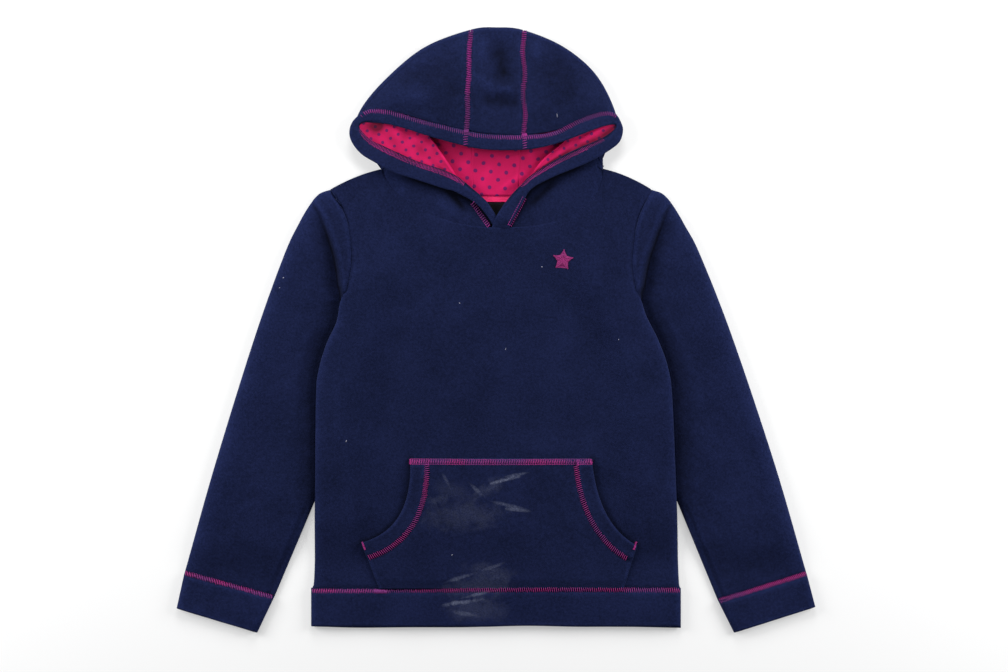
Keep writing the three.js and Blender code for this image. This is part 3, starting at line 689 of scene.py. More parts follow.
# ---- shader building
class Nodes:
    """Short words for building a node tree."""

    def __init__(self, tree: Tree) -> None:
        """Works on one tree."""
        self.tree = tree

    def add(self, kind: str, **values: object) -> Node:
        """Adds a node.

        Args:
            kind: the node's type name.
            values: its properties by name, and its inputs' values or links by name with spaces as _.

        Returns:
            The node.
        """
        node = self.tree.nodes.new(kind)
        names = {s.name.replace(" ", "_"): s for s in reversed(node.inputs)}
        for key, value in values.items():
            if key in names:
                self.put(names[key], value)
            else:
                setattr(node, key, value)
        return node

    def put(self, socket: Socket, value: object) -> None:
        """Links a socket to another, or sets its value, where a colour gets full opacity.

        Args:
            socket: an input.
            value: an output to link to it, or a plain value.
        """
        if isinstance(value, Socket):
            self.tree.links.new(value, socket)
        else:
            socket.default_value = (*value, 1.0) if socket.type == "RGBA" else value

    def math(self, operation: str, *values: object, kind: str = "ShaderNodeMath",
             **named: object) -> Socket:
        """Adds a Math node.

        Args:
            operation: what it does.
            values: its inputs' values or links, in order.
            kind: the node's type name.
            named: other inputs' values or links by name.

        Returns:
            Its result.
        """
        node = self.add(kind, operation=operation, **named)
        for socket, value in zip(node.inputs, values):
            self.put(socket, value)
        return node.outputs["Value" if operation == "LENGTH" else 0]

    def vector(self, operation: str, *values: object, **named: object) -> Socket:
        """Returns the result of a Vector Math node on vectors or links."""
        return self.math(operation, *values, kind="ShaderNodeVectorMath", **named)

    def blend(self, share: object, first: object, last: object) -> Socket:
        """Blends two colours.

        Args:
            share: share of the way from first to last.
            first: a colour or link.
            last: a colour or link.

        Returns:
            The colour between them.
        """
        node = self.tree.nodes.new("ShaderNodeMix")
        node.data_type = "RGBA"
        for key, value in (("Factor_Float", share), ("A_Color", first), ("B_Color", last)):
            self.put(next(s for s in node.inputs if s.identifier == key), value)
        return next(s for s in node.outputs if s.identifier == "Result_Color")

    def shaded_and_worn(self, colour: object, strength: float) -> Socket:
        """Returns a colour made lighter or darker by the mesh's painted light and shade and rubbed nap, to
        a fifth at the darkest.
        """
        # The attribute read here is mostly painted light and shade.
        wear_and_painted_shade = self.add("ShaderNodeAttribute", attribute_name="wear_and_painted_shade").outputs["Fac"]
        gain = self.math("MAXIMUM", self.math("MULTIPLY_ADD", wear_and_painted_shade, strength, 1.0), 0.2)
        return self.vector("SCALE", colour, Scale=gain)

    def noise(self, vector: object, per_mm: float, detail: float = 2.0, distort: float = 0.0) -> Socket:
        """Returns noise of so many cells per millimetre, from 0 to 1."""
        node = self.add("ShaderNodeTexNoise", Vector=vector, Scale=per_mm / MM, Detail=detail,
                        Distortion=distort)
        return node.outputs["Fac"]

    def ramp(self, value: object, low: float, high: float) -> Socket:
        """Returns 0 below low, 1 above high and smooth between them."""
        node = self.add("ShaderNodeMapRange", interpolation_type="SMOOTHSTEP", Value=value,
                        From_Min=low, From_Max=high)
        return node.outputs["Result"]

    def here(self) -> Socket:
        """Returns the object coordinates."""
        return self.add("ShaderNodeTexCoord").outputs["Object"]

    def bump(self, height: object, depth: float, strength: float) -> Socket:
        """Returns the normal of a height's bump, whose depth is in millimetres."""
        node = self.add("ShaderNodeBump", Strength=strength, Distance=depth * MM, Height=height)
        return node.outputs["Normal"]

    def shader(self, **values: object) -> None:
        """Sets the Principled BSDF's inputs, by name with spaces as _."""
        inputs = self.tree.nodes["Principled BSDF"].inputs
        for key, value in values.items():
            self.put(inputs[key.replace("_", " ")], value)

    def group(self, name: str, **values: object) -> Node:
        """Places one of the shared groups in the tree.

        Args:
            name: its key in GROUPS.
            values: its inputs' values or links by name.

        Returns:
            The group's node.
        """
        node = self.tree.nodes.new("ShaderNodeGroup")
        node.node_tree = GROUPS[name]
        for key, value in values.items():
            self.put(node.inputs[key], value)
        return node


def node_group(name: str, inputs: dict[str, str], outputs: dict[str, str]) -> tuple[Nodes, object, object]:
    """Starts a shader node group.

    Args:
        name: the group's name.
        inputs: socket names and types.
        outputs: socket names and types.

    Returns:
        The words for its tree, the node that holds its inputs and the node that takes its outputs.
    """
    tree = bpy.data.node_groups.new(name, "ShaderNodeTree")
    for in_out, sockets in (("INPUT", inputs), ("OUTPUT", outputs)):
        for socket, kind in sockets.items():
            tree.interface.new_socket(socket, in_out=in_out, socket_type="NodeSocket" + kind)
    return Nodes(tree), tree.nodes.new("NodeGroupInput"), tree.nodes.new("NodeGroupOutput")


def nap_group() -> Tree:
    """The brushed nap of fleece.

    Shade mixes fine fibre noise with broad rubbed patches; Height is the fibres with small pills.

    Returns:
        The group, with a Vector input and Shade and Height outputs.
    """
    n, given, out = node_group("nap", {"Vector": "Vector"}, {"Shade": "Float", "Height": "Float"})
    vector = given.outputs["Vector"]
    fibre = n.noise(vector, 1.6, 4.0, 0.6)
    tuft = n.noise(vector, 0.42, 3.0, 0.4)
    rubbed = n.noise(vector, 0.022, 2.0)
    pill = n.ramp(n.noise(vector, 0.28, 1.0), 0.62, 0.78)
    fine = n.math("ADD", n.math("MULTIPLY", fibre, 0.45), n.math("MULTIPLY", tuft, 0.35))
    n.put(out.inputs["Shade"], n.math("ADD", fine, n.math("MULTIPLY", rubbed, 0.2)))
    rough = n.math("ADD", n.math("MULTIPLY", fibre, 0.5), n.math("MULTIPLY", tuft, 0.8))
    n.put(out.inputs["Height"], n.math("ADD", rough, n.math("MULTIPLY", pill, 0.35)))
    return n.tree


def polka_group() -> Tree:
    """Polka dots in a half-drop repeat.

    Two square lattices, one offset by half a cell each way, put a soft-edged disc in each cell. Noise
    shifts the places a little, so that the dots aren't quite round.

    Returns:
        The group, with a Vector input and a Dot output that is 1 on the dots.
    """
    cells = {"X": 0.0162, "Y": 0.0166}
    dot_edge, dot_core = 2.55, 1.65
    shift_by = (0.0016, 0.0016, 0.0)
    n, given, out = node_group("polka", {"Vector": "Vector"}, {"Dot": "Float"})
    vector = given.outputs["Vector"]
    wobble = n.add("ShaderNodeTexNoise", Vector=vector, Scale=90.0, Detail=1.0).outputs["Color"]
    parts = n.add("ShaderNodeSeparateXYZ", Vector=n.vector("MULTIPLY_ADD", wobble, shift_by, vector))
    dots = []
    for shift in (0.0, 0.5):
        squares = []
        for axis, cell in cells.items():
            place = n.math("ADD", n.math("DIVIDE", parts.outputs[axis], cell), shift)
            off = n.math("MULTIPLY", n.math("SUBTRACT", n.math("FRACT", place), 0.5), cell / MM)
            squares.append(n.math("MULTIPLY", off, off))
        dots.append(n.ramp(n.math("SQRT", n.math("ADD", *squares)), dot_edge, dot_core))
    n.put(out.inputs["Dot"], n.math("MAXIMUM", *dots))
    return n.tree


def smudge_group() -> Tree:
    """One pale smudge: an ellipse with a cloudy outline, broken up by fine grain.

    Returns:
        The group, with Vector, Centre, Size and Angle inputs and a Mask output.
    """
    inputs = {"Vector": "Vector", "Centre": "Vector", "Size": "Vector", "Angle": "Float"}
    n, given, out = node_group("smudge", inputs, {"Mask": "Float"})
    vector, centre, size, angle = (given.outputs[name] for name in inputs)
    moved = n.vector("SUBTRACT", vector, centre)
    turned = n.add("ShaderNodeVectorRotate", rotation_type="Z_AXIS", Vector=moved, Angle=angle)
    scaled = n.vector("DIVIDE", turned.outputs["Vector"], size)
    near = n.math("SUBTRACT", 1.1, n.vector("LENGTH", n.vector("MULTIPLY", scaled, (1.0, 1.0, 0.0))))
    cloud = n.noise(vector, 0.07, 3.0, 1.0)
    grain = n.ramp(n.noise(vector, 0.8, 4.0, 0.4), 0.3, 0.7)
    body = n.math("ADD", near, n.math("MULTIPLY", n.math("SUBTRACT", cloud, 0.5), 1.6))
    broken = n.math("MULTIPLY", n.ramp(body, 0.0, 0.9), n.math("MULTIPLY_ADD", grain, 0.7, 0.3))
    n.put(out.inputs["Mask"], broken)
    return n.tree


GROUPS = {"nap": nap_group(), "polka": polka_group(), "smudge": smudge_group()}


def dressed(name: str) -> Nodes:
    """Returns the words for a new material's tree."""
    material = bpy.data.materials.new(name)
    material.use_nodes = True
    return Nodes(material.node_tree)


@dataclass(frozen=True)
class Smudge:
    """Where a pale smudge lies, how far it reaches, how it is turned and how strong it is."""

    centre: Pair
    size: Pair
    angle: float
    strength: float


@dataclass(frozen=True)
class Fleece:
    """Navy micro fleece with a short brushed nap, and pale smudges where it is stained.

    Attributes:
        name: the material's name.
        dark: colour in the nap's hollows.
        light: colour of its tips.
        stain: colour of the smudges.
        sheen: weight of its sheen.
        contrast: the nap's shades that are quite dark and quite light.
        wear_and_painted_shade: how much lighter or darker it gets by its painted light and shade and rubbed
            nap.
        smudges: the smudges.
    """

    name: str = "navy_fleece"
    dark: Colour = (0.0018, 0.0034, 0.0150)
    light: Colour = (0.0082, 0.0125, 0.0480)
    stain: Colour = (0.28, 0.31, 0.43)
    sheen: float = 0.05
    contrast: Pair = (0.28, 0.74)
    wear_and_painted_shade: float = 0.42
    smudges: tuple[Smudge, ...] = ()

    def material(self) -> None:
        """Makes the material: noise from dark to light, with painted highlights and painted shade from the
        mesh, and the smudges over it.
        """
        n = dressed(self.name)
        vector = n.here()
        nap = n.group("nap", Vector=vector).outputs
        share = n.ramp(nap["Shade"], *self.contrast)
        # Painted light and shade from the mesh scale the nap's colour.
        colour = n.shaded_and_worn(n.blend(share, self.dark, self.light), self.wear_and_painted_shade)
        for smudge in self.smudges:
            (x, y), (length, width) = smudge.centre, smudge.size
            mask = n.group("smudge", Vector=vector, Centre=(x * MM, y * MM, 0.0),
                           Size=(length * MM, width * MM, 1.0), Angle=math.radians(smudge.angle))
            strength = n.math("MULTIPLY", mask.outputs["Mask"], smudge.strength)
            colour = n.blend(strength, colour, self.stain)
        n.shader(Base_Color=colour, Normal=n.bump(nap["Height"], 0.5, 0.6), Roughness=0.95,
                 Specular_IOR_Level=0.06, Sheen_Weight=self.sheen, Sheen_Roughness=0.45,
                 Sheen_Tint=(0.35, 0.45, 1.0))


@dataclass(frozen=True)
class Jersey:
    """Bright pink lining jersey, with purple polka dots where it is printed.

    Attributes:
        name: the material's name.
        ground: colour of the cloth.
        dot: colour of the dots.
        printed: whether it has dots.
        turn: how far the print is turned, in degrees.
        cover: how well the dots cover.
    """

    name: str = "dotted_jersey"
    ground: Colour = (0.50, 0.0065, 0.085)
    dot: Colour = (0.085, 0.009, 0.085)
    printed: bool = True
    turn: float = 4.0
    cover: float = 0.9

    def material(self) -> None:
        """Makes the material: a fine knit with a slight fleck, with painted highlights and painted shade
        from the mesh.
        """
        n = dressed(self.name)
        vector = n.here()
        flecked = tuple(0.82 * c for c in self.ground)
        colour = n.blend(n.noise(vector, 0.9, 3.0), flecked, self.ground)
        if self.printed:
            cloth = n.add("ShaderNodeUVMap", uv_map="cloth").outputs["UV"]
            turned = n.add("ShaderNodeMapping", Vector=cloth, Rotation=(0.0, 0.0, math.radians(self.turn)))
            dots = n.group("polka", Vector=turned.outputs["Vector"]).outputs["Dot"]
            colour = n.blend(n.math("MULTIPLY", dots, self.cover), colour, self.dot)
        knit = n.add("ShaderNodeTexWave", Vector=vector, Scale=700.0, Distortion=1.5, Detail=2.0)
        # Painted light and shade from the mesh scale the lining's colour.
        n.shader(Base_Color=n.shaded_and_worn(colour, 0.4), Normal=n.bump(knit.outputs["Fac"], 0.2, 0.35),
                 Roughness=0.8, Specular_IOR_Level=0.1)


@dataclass(frozen=True)
class Thread:
    """Spun sewing thread: strands with darker gaps between their twists, faded to violet in stretches."""

    name: str = "pink_thread"
    colour: Colour = (0.40, 0.026, 0.21)
    faded: Colour = (0.24, 0.036, 0.22)
    rough: float = 0.6

    def material(self) -> None:
        """Makes the material: a hue that drifts in long stretches, darkened between the strands."""
        n = dressed(self.name)
        vector = n.here()
        strand = n.noise(vector, 2.2, 2.0)
        hue = n.blend(n.ramp(n.noise(vector, 0.03, 1.0), 0.4, 0.62), self.colour, self.faded)
        gain = n.math("MULTIPLY_ADD", n.ramp(strand, 0.3, 0.65), 0.6, 0.4)
        n.shader(Base_Color=n.vector("SCALE", hue, Scale=gain), Normal=n.bump(strand, 0.1, 0.4),
                 Roughness=self.rough, Specular_IOR_Level=0.2)


# ---- flattened tubes
@dataclass
class FlatTube:
    """A tube of cloth pressed flat on the surface.

    Attributes:
        patch: its plan; u crosses it from fold to fold and v runs along it.
        stations: shares along, one for each ring of points.
        columns: points across its upper side.
        base: height of its underside at each place.
        top: height of its upper side above the underside.
        edge: its thickness at the folds.
        shoulder: how far from a fold its upper side is still rising.
        shade: painted light and shade at each place; if it is left out, a painted highlight makes it a
            little lighter at its folds.
    """

    patch: Patch
    stations: Array
    columns: int
    base: Height
    top: Height
    edge: float
    shoulder: float = 8.0
    shade: Height | None = None

    def grid(self) -> Grid:
        """Rings of points round the tube.

        Both sides round off to the folds as quarter ellipses: a side has the share
        sqrt(1 - (1 - d / r)**2) of its height at a distance d from the fold, where r is the shoulder for
        the upper side and half the thickness for the underside.

        Returns:
            The rings as a closed grid.
        """
        v = self.stations[:, None]
        x, y = self.patch.at(np.array([[0.0, 1.0]]), v)
        width = np.hypot(x[:, 1:] - x[:, :1], y[:, 1:] - y[:, :1])
        r, wide = self.edge / 2, self.shoulder
        nose = wide * (1 - np.cos(np.linspace(0, np.pi / 2, 10)))[None, :-1]
        flat = wide + (width - 2 * wide) * np.linspace(0, 1, self.columns)[None]
        across = np.hstack([np.repeat(nose, len(v), 0), flat, width - nose[:, ::-1]])
        x, y = self.patch.at(across / width, v)
        near = np.minimum(across, width - across)
        rounding, low_rounding = (np.sqrt(1 - (1 - np.clip(near / k, 0, 1)) ** 2) for k in (wide, r))
        low = self.base(x, y)
        high = low + r + (self.top(x, y) - r) * rounding
        upper = stacked(x, y, high)
        under = stacked(x, y, low + r * (1 - low_rounding))
        # Painted light and shade; the default is a painted highlight along the folds.
        painted_light = self.shade(x, y) if self.shade else 0.3 + bell(near, 0.2, 6.0)
        return Grid(np.hstack([upper, under[:, -2:0:-1]]), loop=True, facing=Facing.ROUND,
                    painted_light=np.hstack([painted_light, 0 * painted_light[:, -2:0:-1]]))


# ---- body
@dataclass
class Body:
    """The front and back panels.

    Attributes:
        columns: points across a panel.
        rows: points along a panel.
        shoulder_rise: how far the shoulder line bows out.
        underarm_sag: how far the back's edge hangs at the underarms.
        side_roll: how far in the front rounds down to the side seams, and by how much.
        armhole_dip: depth and width of the dip along the armhole seams.
        neck_dip: the same along the neckline.
        neck_run: length of the panel up to the neckline.
        hem_dip: the same over the waistband.
        side_light: strength and width of the painted highlight along the sides.
        pocket_shadow: the same of the painted shadow beside the pocket's openings.
        front_cut: flat size of the front panel.
        back_cut: flat size of the back panel.
    """

    columns: int = 132
    rows: int = 160
    shoulder_rise: float = 2.6
    underarm_sag: float = 3.8
    side_roll: Pair = (8.0, 3.6)
    armhole_dip: Pair = (1.0, 2.2)
    neck_dip: Pair = (0.3, 3.5)
    neck_run: float = 330
    hem_dip: Pair = (1.0, 3.0)
    side_light: Pair = (0.4, 3.5)
    pocket_shadow: Pair = (1.3, 3.4)
    front_cut: Cut = Cut(0.385, 0.44, 0.146)
    back_cut: Cut = Cut(0.385, 0.44, 0.152)

    def patch(self, drop: float) -> Patch:
        """A panel's plan.

        Args:
            drop: how far its neckline hangs.

        Returns:
            The plan; its sides run up the side seam, the armhole and the shoulder to the neck.
        """
        angle = np.linspace(0, np.pi, 400)
        x = -np.cos(angle) * np.where(angle < np.pi / 2, LEFT.neck_x, RIGHT.neck_x)
        edges = []
        share = np.linspace(0, 1, 24)[1:, None]
        for side in (LEFT, RIGHT):
            tip, neck = np.array(side.body_edge[-1]), np.array([side.neck_x, NECK_Y])
            shoulder = mix(tip, neck, share) + np.array([0.0, 4 * self.shoulder_rise]) * share * (1 - share)
            edges.append(side.place(np.vstack([curve(side.body_edge), shoulder])))
        hem = np.array([edges[0][0], edges[1][0]])
        return Patch(hem, stacked(x, neckline_y(x, drop)), edges[0], edges[1])

    def shares(self) -> tuple[Array, Array]:
        """Returns a panel's shares across, as a row, and along, as a column."""
        return spread(self.columns, 0.35)[None], spread(self.rows, 0.3)[:, None]

    def front(self, openings: tuple[Array, ...]) -> Grid:
        """The front panel's face.

        Its sides round down to the side seams, and it dips into the seams round the armholes, along the
        neckline and over the waistband. A painted highlight lies along its sides and a painted shadow
        beside the pocket's openings, by Gaussians of the distance.

        Args:
            openings: the pocket's openings, as polylines.

        Returns:
            The face.
        """
        u, v = self.shares()
        x, y = self.patch(FRONT_NECK_DROP).at(u, v)
        inside = -DRAPE.outside(x, y)
        side = roll_off(inside, *self.side_roll) * ease(36, 20, y)
        armhole = bell(inside, *self.armhole_dip) * ease(28, 44, y)
        from_neck = (1 - v) * self.neck_run
        neck = bell(from_neck, *self.neck_dip) * ease(100, 50, np.abs(x)) + 0 * u
        hem = bell(y - HEM_Y, *self.hem_dip)
        # Painted highlight along the sides and painted shadow beside the pocket's openings.
        painted_light = bell(inside, *self.side_light) * ease(40, 20, y)
        for opening in openings:
            painted_light = painted_light - bell(distance(x, y, opening), *self.pocket_shadow)
        return Grid(stacked(x, y, DRAPE.front(x, y) - side - armhole - neck - hem), painted_light=painted_light)

    def back(self) -> Grid:
        """The back panel's upper face, which rides up on the tucked sleeves and sags at the underarms.

        Returns:
            The face.
        """
        x, y = self.patch(BACK_NECK_DROP).at(*self.shares())
        sag = self.underarm_sag * ease(-12, -2, DRAPE.outside(x, y)) * ease(38, 26, y) * ease(-16, 2, y)
        return Grid(stacked(x, y, DRAPE.lift(x, y) + PLY - sag))


# ---- sleeves and cuffs
@dataclass
class Sleeve:
    """A sleeve, pressed flat, with its head sewn into the armhole and its underarm tucked in.

    Attributes:
        side: which side it is on.
        seam_gap: clearance of the armhole seam; it goes under the body's edge if negative.
        edge: thickness at its folds.
        crown: how much thicker it is along its middle.
        ridge: height and width of the ridge along the cap's fold.
        seam_dip: depth and width of the dip along the armhole seam.
        valley: depth of the trough beside the body.
        cuff_dip: depth and width of the dip along the cuff's seam.
        underarm_dip: the same along the underarm seam.
        underarm_in: how far inside the inner fold that seam lies.
        outer_lights: strength and width of the sharp and the broad painted highlight along the outer fold.
        inner_light: the same of the painted highlight along the inner fold.
        stations: ends and counts of the three runs of stations along it.
        cap: at heights y, how far outside the seam its head folds over and drops.
        cut: flat size of the cloth.
        creases: its soft folds, for the side at +X; the other side's are mirrored.
    """

    side: Side
    seam_gap: float = -0.9
    edge: float = 5.9
    crown: float = 5.4
    ridge: Pair = (1.0, 4.0)
    seam_dip: Pair = (1.2, 2.0)
    valley: float = 0.8
    cuff_dip: Pair = (1.2, 3.0)
    underarm_dip: Pair = (0.9, 1.6)
    underarm_in: float = 6.5
    outer_lights: tuple[Pair, Pair] = ((0.4, 5.0), (0.45, 24.0))
    inner_light: Pair = (0.25, 5.0)
    stations: tuple[tuple[float, float, int], ...] = ((0, 0.12, 66), (0.12, 0.2, 18), (0.2, 1, 90))
    cap: tuple[Pair, ...] = (
        (4, -16), (31, -4.5), (47, 5.5), (56, 8.8), (68, 12.6), (89, 17.6), (110, 21.5), (131, 23),
    )
    cut: Cut = Cut(0.3, 0.44, 0.081)
    creases: tuple[Crease, ...] = folds(
        (190, 60, 216, -20, 26, 0.9), (196, -20, 232, -120, 30, -0.9), (226, 20, 262, -100, 24, 0.7),
        (214, -120, 256, -236, 30, 0.9), (262, -120, 292, -230, 26, -0.8),
        (200, -60, 188, -120, 18, -0.8),
    )

    def patch(self) -> Patch:
        """Returns the sleeve's plan: u from outer to inner fold, v from the armhole to the cuff."""
        side = self.side
        hole = [(x + self.seam_gap, y) for x, y in side.body_edge if y > 35][::-1]
        low = hole[-1][0]
        hole = [*hole, (low + 4, 24), (low + 4, 4), (low + 4, -20), side.sleeve_inner[0]]
        outer, inner = side.place(curve(side.sleeve_outer)), side.place(curve(side.sleeve_inner))
        end = np.array([outer[-1], inner[-1]])
        return Patch(side.place(curve(hole)), end, outer, inner)

    def fold_at(self, y: Array) -> Array:
        """Returns how far outside the seam the head folds over at each height y."""
        return np.interp(y, *zip(*self.cap))

    def base(self, x: Array, y: Array) -> Array:
        """Height of the underside: level with the body at the seam, then folded down.

        Args:
            x, y: plan places, of one shape.

        Returns:
            The height of the body's edge and a little more, eased to 0 past the fold.
        """
        fold = self.fold_at(y)
        body_edge = DRAPE.lift(self.side.sign * self.side.edge_x(y), y)
        level = (body_edge + 1.8 * ease(150, 118, y)) * ease(0, 20, y)
        return level * ease(fold + 5.5, fold, DRAPE.outside(x, y))

    def top(self, x: Array, y: Array) -> Array:
        """Thickness: fuller in the middle, ridged along the cap, dipped into the seams.

        Args:
            x, y: plan places, of one shape.

        Returns:
            The thickness at the folds, plus the crown, the ridge and the creases, less the dips.
        """
        outside = DRAPE.outside(x, y)
        beyond = outside - np.maximum(self.fold_at(y), -4)
        ridge = bell(beyond + 2, *self.ridge) * ease(20, 50, y) * ease(146, 120, y)
        tucked = 4.0 * ease(1.0, -2.5, outside)
        seam = bell(outside, *self.seam_dip) * ease(24, 40, y) + tucked
        valley = ease(0, 6, beyond) * ease(26, 6, beyond) * ease(140, 105, y) * ease(-186, -120, y)
        full = self.crown * ease(1, 27, beyond) * ease(-256, -215, y) - self.valley * valley
        full = full + creased(self.creases, np.abs(x), y) * ease(20, 40, outside)
        full = full + 0.35 * rumple(x, y, 30.0, 3.0 + self.side.sign) + 0.15 * rumple(x, y, 12.0, 5.0)
        cuff = bell(distance(x, y, self.side.sleeve_end()), *self.cuff_dip)
        in_from_fold = distance(x, y, self.side.sleeve_edges()[1]) - self.underarm_in
        underarm = bell(in_from_fold, *self.underarm_dip) * ease(-178, -190, y)
        return self.edge + full + ridge - seam - cuff - underarm

    def shade(self, x: Array, y: Array) -> Array:
        """Painted shading: a highlight along the outer fold, shade in the trough beside the body.

        Args:
            x, y: plan places, of one shape.

        Returns:
            Gaussians of the distance from the folds, less a smooth step across the trough.
        """
        # Painted highlights along the folds, less painted shade in the trough beside the body.
        outer, inner = (distance(x, y, edge) for edge in self.side.sleeve_edges())
        sharp, broad = (bell(outer, *light) for light in self.outer_lights)
        light = sharp + broad + bell(inner, *self.inner_light) * ease(-182, -205, y)
        beyond = DRAPE.outside(x, y) - np.maximum(self.fold_at(y), -1)
        trough = ease(28, 0, beyond) * ease(-2, 0, beyond) * ease(128, 95, y) * ease(-200, -170, y)
        return light - trough

    def grid(self) -> Grid:
        """Returns the sleeve's surface."""
        return FlatTube(self.patch(), joined(self.stations), 66, self.base, self.top, self.edge, 13.0,
                        self.shade).grid()


@dataclass
class Cuff:
    """The hemmed end of a sleeve.

    Attributes:
        side: which side it is on.
        edge: thickness of the two doubled plies.
        seam_dip: depth and width of the dip along its seam.
        end_roll: how far in it rounds down to its open end, and by how much.
        cut: flat size of the cloth.
    """

    side: Side
    edge: float = 8.6
    seam_dip: Pair = (1.6, 3.0)
    end_roll: Pair = (3.0, 1.6)
    cut: Cut = Cut(0.195, 0.04, 0.0076)

    def patch(self) -> Patch:
        """Returns the cuff's plan: u from outer to inner fold, v from the seam to the end."""
        seam, end = self.side.sleeve_end(), self.side.place(self.side.cuff_end)
        return Patch(seam, end, *np.stack([seam, end], axis=1))

    def top(self, x: Array, y: Array) -> Array:
        """Thickness, dipped into the seam and rounded at the open end.

        Args:
            x, y: plan places, of one shape.

        Returns:
            The thickness at the folds with slight unevenness, less the dips.
        """
        patch = self.patch()
        seam = bell(distance(x, y, patch.bottom), *self.seam_dip)
        end = roll_off(distance(x, y, patch.top), *self.end_roll)
        return self.edge - seam - end + 0.45 * rumple(x, y, 24.0, 6.0 + self.side.sign)

    def grid(self) -> Grid:
        """Returns the cuff's surface."""
        return FlatTube(self.patch(), spread(40, 0.5), 60, flat_ground, self.top, self.edge, 7.0).grid()


def flat_ground(x: Array, y: Array) -> Array:
    """Returns the height of the surface that the garment lies on."""
    return np.zeros(np.shape(x))


@dataclass
class Waistband:
    """The double band at the hem, a flat tube as wide as the body.

    Attributes:
        half_width: half its flattened width.
        bottom: height y of its lower edge.
        edge: thickness of the two doubled plies.
        seam_dip: depth and width of the dip along its seam.
        fold_roll: how far in it rounds down to its lower fold, and by how much.
        cut: flat size of the cloth, round the whole hem and before it is folded double.
    """

    half_width: float = 193.7
    bottom: float = -310.8
    edge: float = 8.8
    seam_dip: Pair = (1.5, 3.2)
    fold_roll: Pair = (4.0, 3.2)
    cut: Cut = Cut(0.78, 0.041, 0.0319)

    def patch(self) -> Patch:
        """Returns the band's plan, with a lower edge that waves a little."""
        x = np.linspace(-self.half_width, self.half_width, 200)
        lower = self.bottom + 0.9 * np.sin(x / 47.0 + 0.6) + 0.4 * np.sin(x / 19.0)
        top, bottom = stacked(x, np.full(len(x), HEM_Y + 0.4)), stacked(x, lower)
        return Patch(top, bottom, *np.stack([top, bottom], axis=1)[[0, -1]])

    def top(self, x: Array, y: Array) -> Array:
        """Thickness, dipped into the seam and rounded at the fold.

        Args:
            x, y: plan places, of one shape.

        Returns:
            The thickness at the folds with soft waves across, less the dips.
        """
        seam = bell(y - HEM_Y, *self.seam_dip)
        fold = roll_off(y - self.bottom, *self.fold_roll)
        wave = 0.5 * np.sin(x / 31.0 + 1.0) * np.sin((y - HEM_Y) / 15.0) + 0.35 * np.sin(x / 13.0 + 2.0)
        return self.edge - seam - fold + wave * ease(HEM_Y, HEM_Y - 8, y)

    def grid(self) -> Grid:
        """Returns the band's surface."""
        return FlatTube(self.patch(), spread(38, 0.6), 164, flat_ground, self.top, self.edge, 6.0).grid()


# ---- pocket and star
@dataclass
class Pocket:
    """The kangaroo pocket, whose hand openings curve from its top corners out to the tips.

    Attributes:
        top_y: height y of its top edge.
        hem: depth of the turned hem along the openings.
        hem_in: how far inside an opening its hem is sewn.
        hem_ply: height that the turned hem adds.
        hem_groove: depth and width of the groove along its stitching.
        edge_roll: how far in it rounds down at its openings and short sides, and by how much.
        top_roll: the same at its top.
        rise: how far its face stands above the body's.
        cut: flat size of the cloth.
        creases: its own soft folds.
    """

    top_y: float = -134.4
    hem: float = 17.0
    hem_in: float = 17.3
    hem_ply: float = 2.2
    hem_groove: Pair = (0.5, 3.0)
    edge_roll: Pair = (3.0, 1.6)
    top_roll: Pair = (3.0, 1.4)
    rise: float = 3.0
    cut: Cut = Cut(0.29, 0.137, 0.034)
    creases: tuple[Crease, ...] = folds(
        (-60, -150, -30, -230, 30, 0.8), (40, -160, 20, -240, 34, -0.8), (70, -170, 96, -240, 24, 0.7),
        (-20, -200, 60, -214, 22, 0.6),
    )

    def opening(self, side: Side) -> Array:
        """A hand opening, from its tip to the pocket's top corner.

        Args:
            side: which side it is on.

        Returns:
            A quadratic curve, drawn in at its waist.
        """
        top_x, waist, tip = side.pocket[0][0], *side.pocket[1:3]
        t = np.linspace(0, 1, 80)[:, None]
        corner = np.array([top_x, self.top_y])
        path = (1 - t) ** 2 * np.array(tip) + 2 * t * (1 - t) * np.array(waist) + t**2 * corner
        return side.place(path)

    def openings(self) -> tuple[Array, ...]:
        """Returns both hand openings."""
        return self.opening(LEFT), self.opening(RIGHT)

    def hem_line(self, side: Side) -> Array:
        """The line that an opening's hem is sewn along.

        Args:
            side: which side it is on.

        Returns:
            The opening, offset inwards.
        """
        path = self.opening(side)
        step = unit(np.gradient(path, axis=0))
        inward = side.sign * stacked(-step[:, 1], step[:, 0])
        return (path + self.hem_in * inward)[2:-3]

    def patch(self) -> Patch:
        """Returns the pocket's plan."""
        sides = [np.vstack([side.place([side.pocket[3]]), self.opening(side)]) for side in (LEFT, RIGHT)]
        bottom, top = (np.array([side[end] for side in sides]) for end in (0, -1))
        return Patch(bottom, top, *sides)

    def grid(self) -> Grid:
        """The pocket's face.

        It is a double ply along the openings and a single ply elsewhere, pressed down where it is sewn:
        along the top, the short sides and the hem.

        Returns:
            The face.
        """
        patch = self.patch()
        x, y = patch.at(spread(144, 0.4)[None], spread(92, 0.4)[:, None])
        height = DRAPE.front(x, y) + self.rise
        for side in (LEFT, RIGHT):
            to_opening = distance(x, y, self.opening(side))
            double = self.hem_ply * ease(self.hem + 2, self.hem - 4, to_opening)
            groove = bell(to_opening - self.hem, *self.hem_groove)
            away = ease(0, 8, np.abs(y - self.top_y)) * ease(-268, -240, y)
            height = height + (double - groove - roll_off(to_opening, *self.edge_roll)) * away
            short = distance(x, y, side.place(side.pocket[3:1:-1]))
            height = height - roll_off(short, *self.edge_roll)
        height = height - roll_off(self.top_y - y, *self.top_roll) - 1.6 * ease(-258, HEM_Y, y)
        height = height + creased(self.creases, x, y)
        return Grid(stacked(x, y, height))


